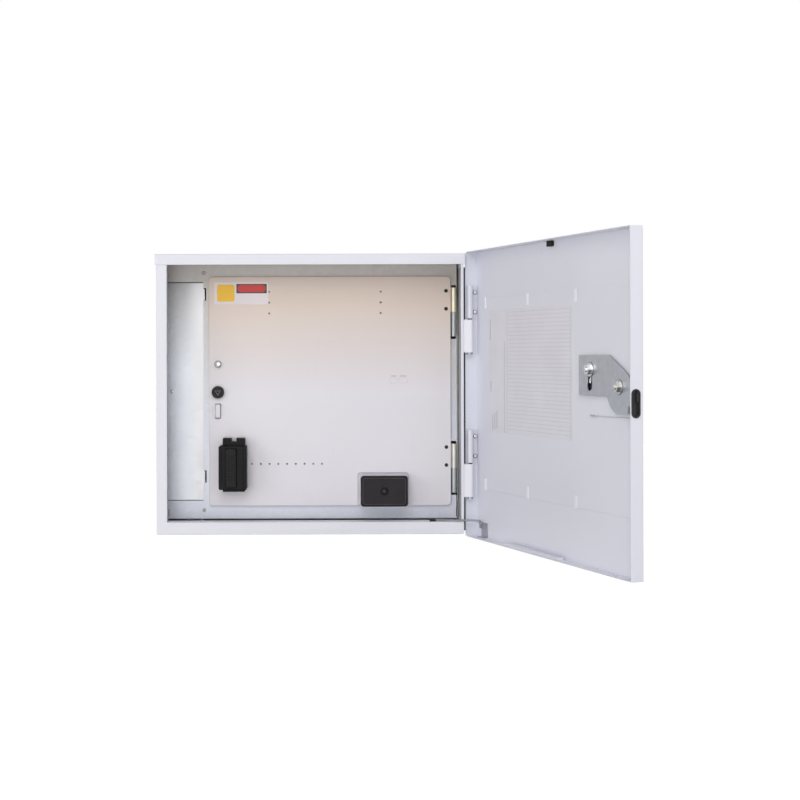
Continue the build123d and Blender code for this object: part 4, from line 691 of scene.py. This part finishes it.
class Face:
    """A flat place on the object: an origin, a direction across, a direction up and the outward normal."""

    def __init__(self, origin, across, up):
        self.origin = Vector(origin)
        self.across = Vector(across).normalized()
        self.up = Vector(up).normalized()
        self.out = self.across.cross(self.up)

    def at(self, x, y, height=0.0):
        return self.origin + self.across * x + self.up * y + self.out * height


def door_inside(name):
    """The inner face of a flat piece of the door: across runs from the hinge to the free edge."""
    return Face(door_axis + door_inward * broadest_rise(name, door_inward), door_across, UP)


def front_face(name):
    """The plane of a node's front, with the object's own X and Z."""
    return Face((0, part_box(name)[0].y, 0), (1, 0, 0), UP)


def front_middle(name):
    """The middle of a node, seen from the front."""
    low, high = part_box(name)
    return (low.x + high.x) / 2, (low.z + high.z) / 2


def door_reach(name):
    """Lowest and highest values of a door piece along across, inward and up, from the hinge axis."""
    node = frame["nodes"][name]
    spots = [node.matrix_world @ vertex.co - door_axis for vertex in node.data.vertices]
    return [
        (min(spot.dot(way) for spot in spots), max(spot.dot(way) for spot in spots))
        for way in (door_across, door_inward, UP)
    ]


def patch(bm, face, outline, low=0, high=INK):
    """A thin plate with any outline, given anticlockwise, on a face."""
    under = [bm.verts.new(face.at(x, y, low)) for x, y in outline]
    over = [bm.verts.new(face.at(x, y, high)) for x, y in outline]
    bm.faces.new(over)
    bm.faces.new(under[::-1])
    for index in range(len(outline)):
        follow = (index + 1) % len(outline)
        bm.faces.new((under[index], under[follow], over[follow], over[index]))


def plate(bm, face, x0, x1, y0, y1):
    """A rectangle of ink on a face."""
    patch(bm, face, [(x0, y0), (x1, y0), (x1, y1), (x0, y1)])


def band(bm, face, outer, inner, low=0, high=INK):
    """A thin raised band between two outlines of as many points."""
    rings = [
        [bm.verts.new(face.at(x, y, height)) for x, y in outline]
        for outline, height in ((outer, low), (outer, high), (inner, high), (inner, low))
    ]
    for index in range(len(outer)):
        follow = (index + 1) % len(outer)
        for first, second in zip(rings, rings[1:] + rings[:1]):
            bm.faces.new((first[index], first[follow], second[follow], second[index]))


def in_mm(outline, x=0.0, y=0.0):
    """An outline in metres from one that is given in mm from a point."""
    return [(x + across * MM, y + rise * MM) for across, rise in outline]


def rounded_outline(x0, x1, y0, y1, radius, steps=6):
    """The corners of a rounded rectangle, anticlockwise."""
    points = []
    for turn, (x, y) in enumerate(((x1, y1), (x0, y1), (x0, y0), (x1, y0))):
        centre_x = x - radius if x == x1 else x + radius
        centre_y = y - radius if y == y1 else y + radius
        for step in range(steps + 1):
            angle = radians(90 * (turn + step / steps))
            points.append((centre_x + radius * cos(angle), centre_y + radius * sin(angle)))
    return points


def inset_outline(name, inset, radius):
    """A rounded rectangle that lies an inset within a node's outline, seen from the front."""
    low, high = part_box(name)
    return rounded_outline(low.x + inset, high.x - inset, low.z + inset, high.z - inset, radius)


def circle(x, y, radius, steps=24, start=0):
    """Points round a circle, anticlockwise from a start in degrees."""
    angles = [radians(start + 360 * step / steps) for step in range(steps)]
    return [(x + radius * cos(angle), y + radius * sin(angle)) for angle in angles]


def make_wire_sleeve():
    """The dark crimped sleeve on the near end of the wire under the latch."""
    across, inward, rise = door_reach("latch_wire")
    middle = door_axis + door_inward * (sum(inward) / 2) + UP * (sum(rise) / 2)
    half = (inward[1] - inward[0]) / 2
    sides = 12
    # Each crimp's place along the wire and how far it stands over it, in mm.
    crimps = ((1.0, 0.02), (2.5, 0.15), (9, 0.08), (15, 0.15), (18, 0.1), (19.5, 0.02))
    bm = bmesh.new()
    rings = []
    for reach, grow in crimps:
        centre = middle + door_across * (across[0] + reach * MM)
        turn = circle(0, 0, half + grow * MM, sides)
        rings.append([bm.verts.new(centre + door_inward * x + UP * y) for x, y in turn])
    for first, second in zip(rings, rings[1:]):
        for index in range(sides):
            follow = (index + 1) % sides
            bm.faces.new((first[index], second[index], second[follow], first[follow]))
    bm.faces.new(rings[0])
    bm.faces.new(rings[-1][::-1])
    bmesh.ops.recalc_face_normals(bm, faces=bm.faces)
    new_piece("wire_sleeve", bm, sleeve_metal, "door")


def make_card_ruling():
    """Plain ruling on the record card: evenly spaced lines, upright borders and a few bare bars."""
    face = door_inside("record_card")
    line_start, line_end, line_width = 143 * MM, 413 * MM, 0.7 * MM
    first, pitch, count = 168 * MM, 7.9 * MM, 31
    foot, head = first - count * pitch, first + pitch / 2
    fine = bmesh.new()
    for step in range(count):
        rise = first - step * pitch
        plate(fine, face, line_start, line_end, rise, rise + line_width)
    fine_borders = ((137, 0.8), (142, 0.8), (418, 0.7))
    for reach, width in fine_borders:
        plate(fine, face, reach * MM, (reach + width) * MM, foot, head)
    new_piece("card_ruling", fine, rule_ink, "door")

    bars = bmesh.new()
    dark_borders = ((127, 1.6, head - 62 * MM), (412, 1.0, head))
    for reach, width, top in dark_borders:
        plate(bars, face, reach * MM, (reach + width) * MM, foot, top)
    bar_width = 3
    upright_bars = ((58, 112, 156), (61, 6, 28), (70, -74, -42), (80, -72, -38), (90, -70, -34))
    for reach, low, high in upright_bars:
        plate(bars, face, reach * MM, (reach + bar_width) * MM, low * MM, high * MM)
    new_piece("card_bars", bars, bar_ink, "door")


def make_label_fields():
    """Bare fields of colour on the panel's label: a yellow one, and a red one on a black header."""
    low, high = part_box("panel_label")
    face = front_face("panel_label")
    # Left, right, top, bottom and corner radius in mm from the label's top left corner.
    fields = (
        ("label_yellow_field", (6, 44, 5, 42, 5), 0, label_yellow),
        ("label_header_field", (48, 114, 3.5, 24, 1), 0, label_black),
        ("label_red_field", (50.5, 111.5, 5.5, 21.5, 7.5), INK, label_red),
    )
    for name, sizes, under, ink in fields:
        x0, x1, y0, y1, radius = (size * MM for size in sizes)
        outline = rounded_outline(low.x + x0, low.x + x1, high.z - y1, high.z - y0, radius)
        bm = bmesh.new()
        patch(bm, face, outline, under, under + INK)
        new_piece(name, bm, ink, "panel")


def make_panel_stamp():
    """A faint pair of rubbed bars on the board, each over a rubbed frame."""
    face = front_face("meter_panel")
    bar_foot, bar_head = 35.4 * MM, 37.9 * MM
    # The frame's reach past its bar, its foot, its head and its corner radius, outside and inside.
    frame_lines = ((2, 21, 33, 1), (1.5, 21.5, 32.5, 0.6))
    bm = bmesh.new()
    for x0, x1 in ((175.9, 187.4), (195.4, 209.1)):
        plate(bm, face, x0 * MM, x1 * MM, bar_foot, bar_head)
        outer, inner = (
            rounded_outline((x0 - reach) * MM, (x1 + reach) * MM, foot * MM, head * MM, radius * MM)
            for reach, foot, head, radius in frame_lines
        )
        band(bm, face, outer, inner)
    new_piece("panel_stamp", bm, stamp_ink, "panel")


def make_tab_slot_shades():
    """Painted shade over the open ends of the two slots that take the duct cover's tabs."""
    face = front_face("inner_frame")
    right, left, bend, neck = -225.7, -231.2, -228.6, -228.4
    rises = ((201.7, 213.0, 213.8, 229.0), (-194.5, -188.0, -187.0, -168.0))
    slots = bmesh.new()
    for foot, bend_foot, bend_head, head in rises:
        left_side = [(left, head), (left, bend_head), (bend, bend_foot), (neck, foot)]
        patch(slots, face, in_mm([(right, foot), (right, head), *left_side]))
    new_piece("tab_slot_shades", slots, shade_black, "box")


def make_cover_shadow_lines():
    """Painted shadow lines over and under the duct cover, and a short dark line beside its foot."""
    low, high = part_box("duct_cover")
    face = front_face("inner_frame")
    shadow_end, over, under = -232.5 * MM, 2.6 * MM, 1.8 * MM
    side_left, side_right, side_foot, side_head = -308.7 * MM, -307.5 * MM, -268 * MM, -251 * MM
    shadow_lines = bmesh.new()
    plate(shadow_lines, face, low.x, shadow_end, high.z, high.z + over)
    plate(shadow_lines, face, low.x, shadow_end, low.z - under, low.z)
    plate(shadow_lines, face, side_left, side_right, side_foot, side_head)
    new_piece("cover_shadow_lines", shadow_lines, shadow_line_grey, "box")


def make_frame_edge_shade():
    """A dark strip of painted shade along the lower part of the frame's right edge, in mm from that edge."""
    wide, narrow, joggle = -2.0, -1.7, -0.1
    foot, head = -270, -165
    lower = [(wide, foot), (joggle, foot), (joggle, -247), (0, -245)]
    upper = [(0, head), (narrow, head), (narrow, -246), (wide, -248)]
    edge = bmesh.new()
    patch(edge, front_face("inner_frame"), in_mm(lower + upper, x=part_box("inner_frame")[1].x))
    new_piece("frame_edge_shade", edge, shade_black, "box")


def make_link_cover_highlight():
    """A thin band round the link cover's face, a little proud and lighter than the cover: a painted highlight
    along its rounded edge.
    """
    inset, wide, radius = 6.0 * MM, 1.5 * MM, 6.0 * MM
    sunk, proud = -0.2 * MM, 0.25 * MM
    outer = inset_outline("link_cover", inset, radius)
    inner = inset_outline("link_cover", inset + wide, radius - wide)
    highlight_band = bmesh.new()
    band(highlight_band, front_face("link_cover"), outer, inner, sunk, proud)
    new_piece("link_cover_highlight", highlight_band, rim_highlight_moulding, "panel")


def make_link_screw_well_shade():
    """A dark ring round the link cover's screw: painted shade of the well it sits in."""
    low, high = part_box("link_cover_screw")
    middle = front_middle("link_cover_screw")
    half = (high.x - low.x) / 2
    outer, inner = circle(*middle, half + 3.2 * MM), circle(*middle, half + 0.2 * MM)
    well = bmesh.new()
    band(well, front_face("link_cover"), outer, inner, 0, 2 * INK)
    new_piece("link_screw_well_shade", well, well_shade_moulding, "panel")


def make_foot_shadow():
    """The fine painted shadow along the gap between the link's foot and the board."""
    low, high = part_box("link_base")
    left, right, under, over = 1.4 * MM, 0.6 * MM, 0.6 * MM, 1.6 * MM
    outer = rounded_outline(low.x - left, high.x + right, low.z - under, high.z + over, 6 * MM)
    inner = inset_outline("link_base", 0.4 * MM, 5 * MM)
    shadow = bmesh.new()
    band(shadow, front_face("meter_panel"), outer, inner)
    new_piece("link_foot_shadow", shadow, foot_shade, "panel")


def make_lock_key_recess():
    """The three-sided key recess in the lock's knob."""
    middle = front_middle("lock_knob")
    outer, inner = (circle(*middle, radius * MM, steps=3, start=30) for radius in (7.4, 5.2))
    key = bmesh.new()
    band(key, front_face("lock_knob"), outer, inner, 0, 2 * INK)
    new_piece("lock_key_recess", key, key_moulding, "panel_lock")


def make_bolt_glint():
    """A bright patch on the sealing bolt's head: a painted highlight."""
    corners = [(5.4, 1.6), (1.0, 5.0), (-2.2, 1.0), (0.6, -3.6), (4.4, -2.2)]
    flat = bmesh.new()
    patch(flat, front_face("seal_bolt"), in_mm(corners, *front_middle("seal_bolt")), 0, 2 * INK)
    new_piece("seal_bolt_glint", flat, roller_and_glint_metal, "panel")


def make_stud_shade_rings():
    """A fine dark ring of painted contact shade where each washer of the latch's studs presses on the plate.
    """
    face = door_inside("latch_plate")
    rim, clearance = 1.6 * MM, 0.1 * MM
    rings = bmesh.new()
    for name in ("latch_guide_nut", "latch_pivot_nut"):
        across, inward, rise = door_reach(name)
        middle = (sum(across) / 2, sum(rise) / 2)
        half = (rise[1] - rise[0]) / 2
        outer, inner = circle(*middle, half + rim), circle(*middle, half + clearance)
        band(rings, face, outer, inner, 0.5 * INK, 1.5 * INK)
    new_piece("stud_shade_rings", rings, ring_shade_metal, "door")


def make_slot_roller():
    """A dark block of painted shade, and the bright roller end, partly a painted highlight, that are seen
    through the latch's slot.
    """
    face = door_inside("door_liner")
    thick, proud = 3.0 * MM, 3.4 * MM
    block = bmesh.new()
    patch(block, face, rounded_outline(484 * MM, 503 * MM, 15 * MM, 47 * MM, 4 * MM), 0, thick)
    new_piece("slot_shade_block", block, shade_black, "door")

    corners = [(491.4, 31.8), (495.6, 30.2), (500.2, 34.0), (501.0, 40.5), (497.7, 42.4), (492.6, 38.5)]
    roller = bmesh.new()
    patch(roller, face, in_mm(corners), thick, proud)
    new_piece("slot_roller_glint", roller, roller_and_glint_metal, "door")


def make_drill_hole_shades():
    """Dark rings of painted shade round the small holes that are drilled in the board."""
    low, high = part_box("meter_panel")
    face = front_face("meter_panel")
    columns, column_top, column_pitch = (131.1, 373.2), 33, 23.3
    row_start, row_rise, row_pitch = 93.1, 91, 19
    places = [
        (low.x + reach * MM, high.z - (column_top + column_pitch * step) * MM)
        for reach in columns
        for step in range(3)
    ]
    places += [(low.x + (row_start + row_pitch * step) * MM, low.z + row_rise * MM) for step in range(9)]
    shade_radius, hole_radius = 2.1 * MM, 1.5 * MM
    hole_shades = bmesh.new()
    for place in places:
        band(hole_shades, face, circle(*place, shade_radius, 12), circle(*place, hole_radius, 12))
    new_piece("drill_hole_shades", hole_shades, drill_shade, "panel")


dress_nodes()
make_wire_sleeve()
make_card_ruling()
make_label_fields()
make_panel_stamp()
make_tab_slot_shades()
make_cover_shadow_lines()
make_frame_edge_shade()
make_link_cover_highlight()
make_link_screw_well_shade()
make_foot_shadow()
make_lock_key_recess()
make_bolt_glint()
make_stud_shade_rings()
make_slot_roller()
make_drill_hole_shades()


def make_camera():
    """The photograph's place: level with the box, far off, with its frame shifted to the right."""
    focal_pixels = 1494
    frame_pixels = 800
    sensor = 36.0
    distance = 3.381
    eye_height = 0.082
    axis_x, axis_y = 310, 355.35
    roll = radians(0.15)
    lens = bpy.data.cameras.new("view")
    lens.sensor_width = sensor
    lens.lens = sensor * focal_pixels / frame_pixels
    lens.shift_x = (frame_pixels / 2 - axis_x) / frame_pixels
    lens.shift_y = (axis_y - frame_pixels / 2) / frame_pixels
    camera = new_object("view", lens)
    camera.location = (0, -distance, eye_height)
    camera.rotation_euler = (radians(90), roll, 0)
    bpy.context.scene.camera = camera


def soft_lamp(name, place, aim, size, power):
    """A large square area lamp turned towards a point."""
    lamp = bpy.data.lights.new(name, "AREA")
    lamp.size = size
    lamp.energy = power
    holder = new_object(name, lamp)
    holder.location = place
    holder.rotation_euler = (Vector(aim) - Vector(place)).to_track_quat("-Z", "Y").to_euler()


def seen_white(graph):
    """Amount that is one where the eye, a mirror or glass looks at the backdrop, and otherwise zero."""
    path = graph.add("ShaderNodeLightPath").outputs
    direct = graph.math("ADD", path["Is Camera Ray"], path["Is Transmission Ray"], clamp=True)
    return graph.math("ADD", direct, path["Is Glossy Ray"], clamp=True)


def make_world():
    """A world that reads as white and lights the object more softly than it looks."""
    light_strength, seen_strength = 0.21, 1.0
    world = bpy.data.worlds.new("studio")
    bpy.context.scene.world = world
    world.use_nodes = True
    graph = Graph(world.node_tree)
    background = graph.nodes["Background"]
    graph.feed(background.inputs["Color"], WHITE)
    strength = graph.ramp(seen_white(graph), 0, 1, light_strength, seen_strength)
    graph.join(strength, background.inputs["Strength"])


def make_lamps():
    """Soft lamps in front of the box, low in front of it, and to its left and right."""
    soft_lamp("front_lamp", place=(-0.5, -3.5, 2.2), aim=(0.1, -0.2, 0), size=2.4, power=56)
    soft_lamp("low_lamp", place=(-0.6, -3.6, -0.5), aim=(0.1, -0.2, -0.1), size=1.6, power=29)
    soft_lamp("left_lamp", place=(-2.65, -2.35, 0.4), aim=(0.2, -0.3, 0), size=1.8, power=25.5)
    soft_lamp("right_lamp", place=(2.8, -2.7, 1.0), aim=(0, -0.2, 0), size=1.6, power=25)


def make_floor():
    """A pale floor, well below the box, that looks white."""
    drop, reach, glow_strength = 0.55, 12, 0.85
    corners = [(-reach, -reach), (reach, -reach), (reach, reach), (-reach, reach)]
    floor = bpy.data.meshes.new("floor")
    floor.from_pydata([(x, y, cad_low.z - drop) for x, y in corners], [], [(0, 1, 2, 3)])
    material, graph, shader = shaded("pale_floor", 0.9)
    graph.feed(shader.inputs["Base Color"], FLOOR_GREY)
    graph.join(graph.mix(seen_white(graph), BLACK, WHITE), shader.inputs["Emission Color"])
    shader.inputs["Emission Strength"].default_value = glow_strength
    floor.materials.append(material)
    new_object("floor", floor)


make_camera()
make_world()
make_lamps()
make_floor()

bpy.context.scene.view_settings.view_transform = "Standard"
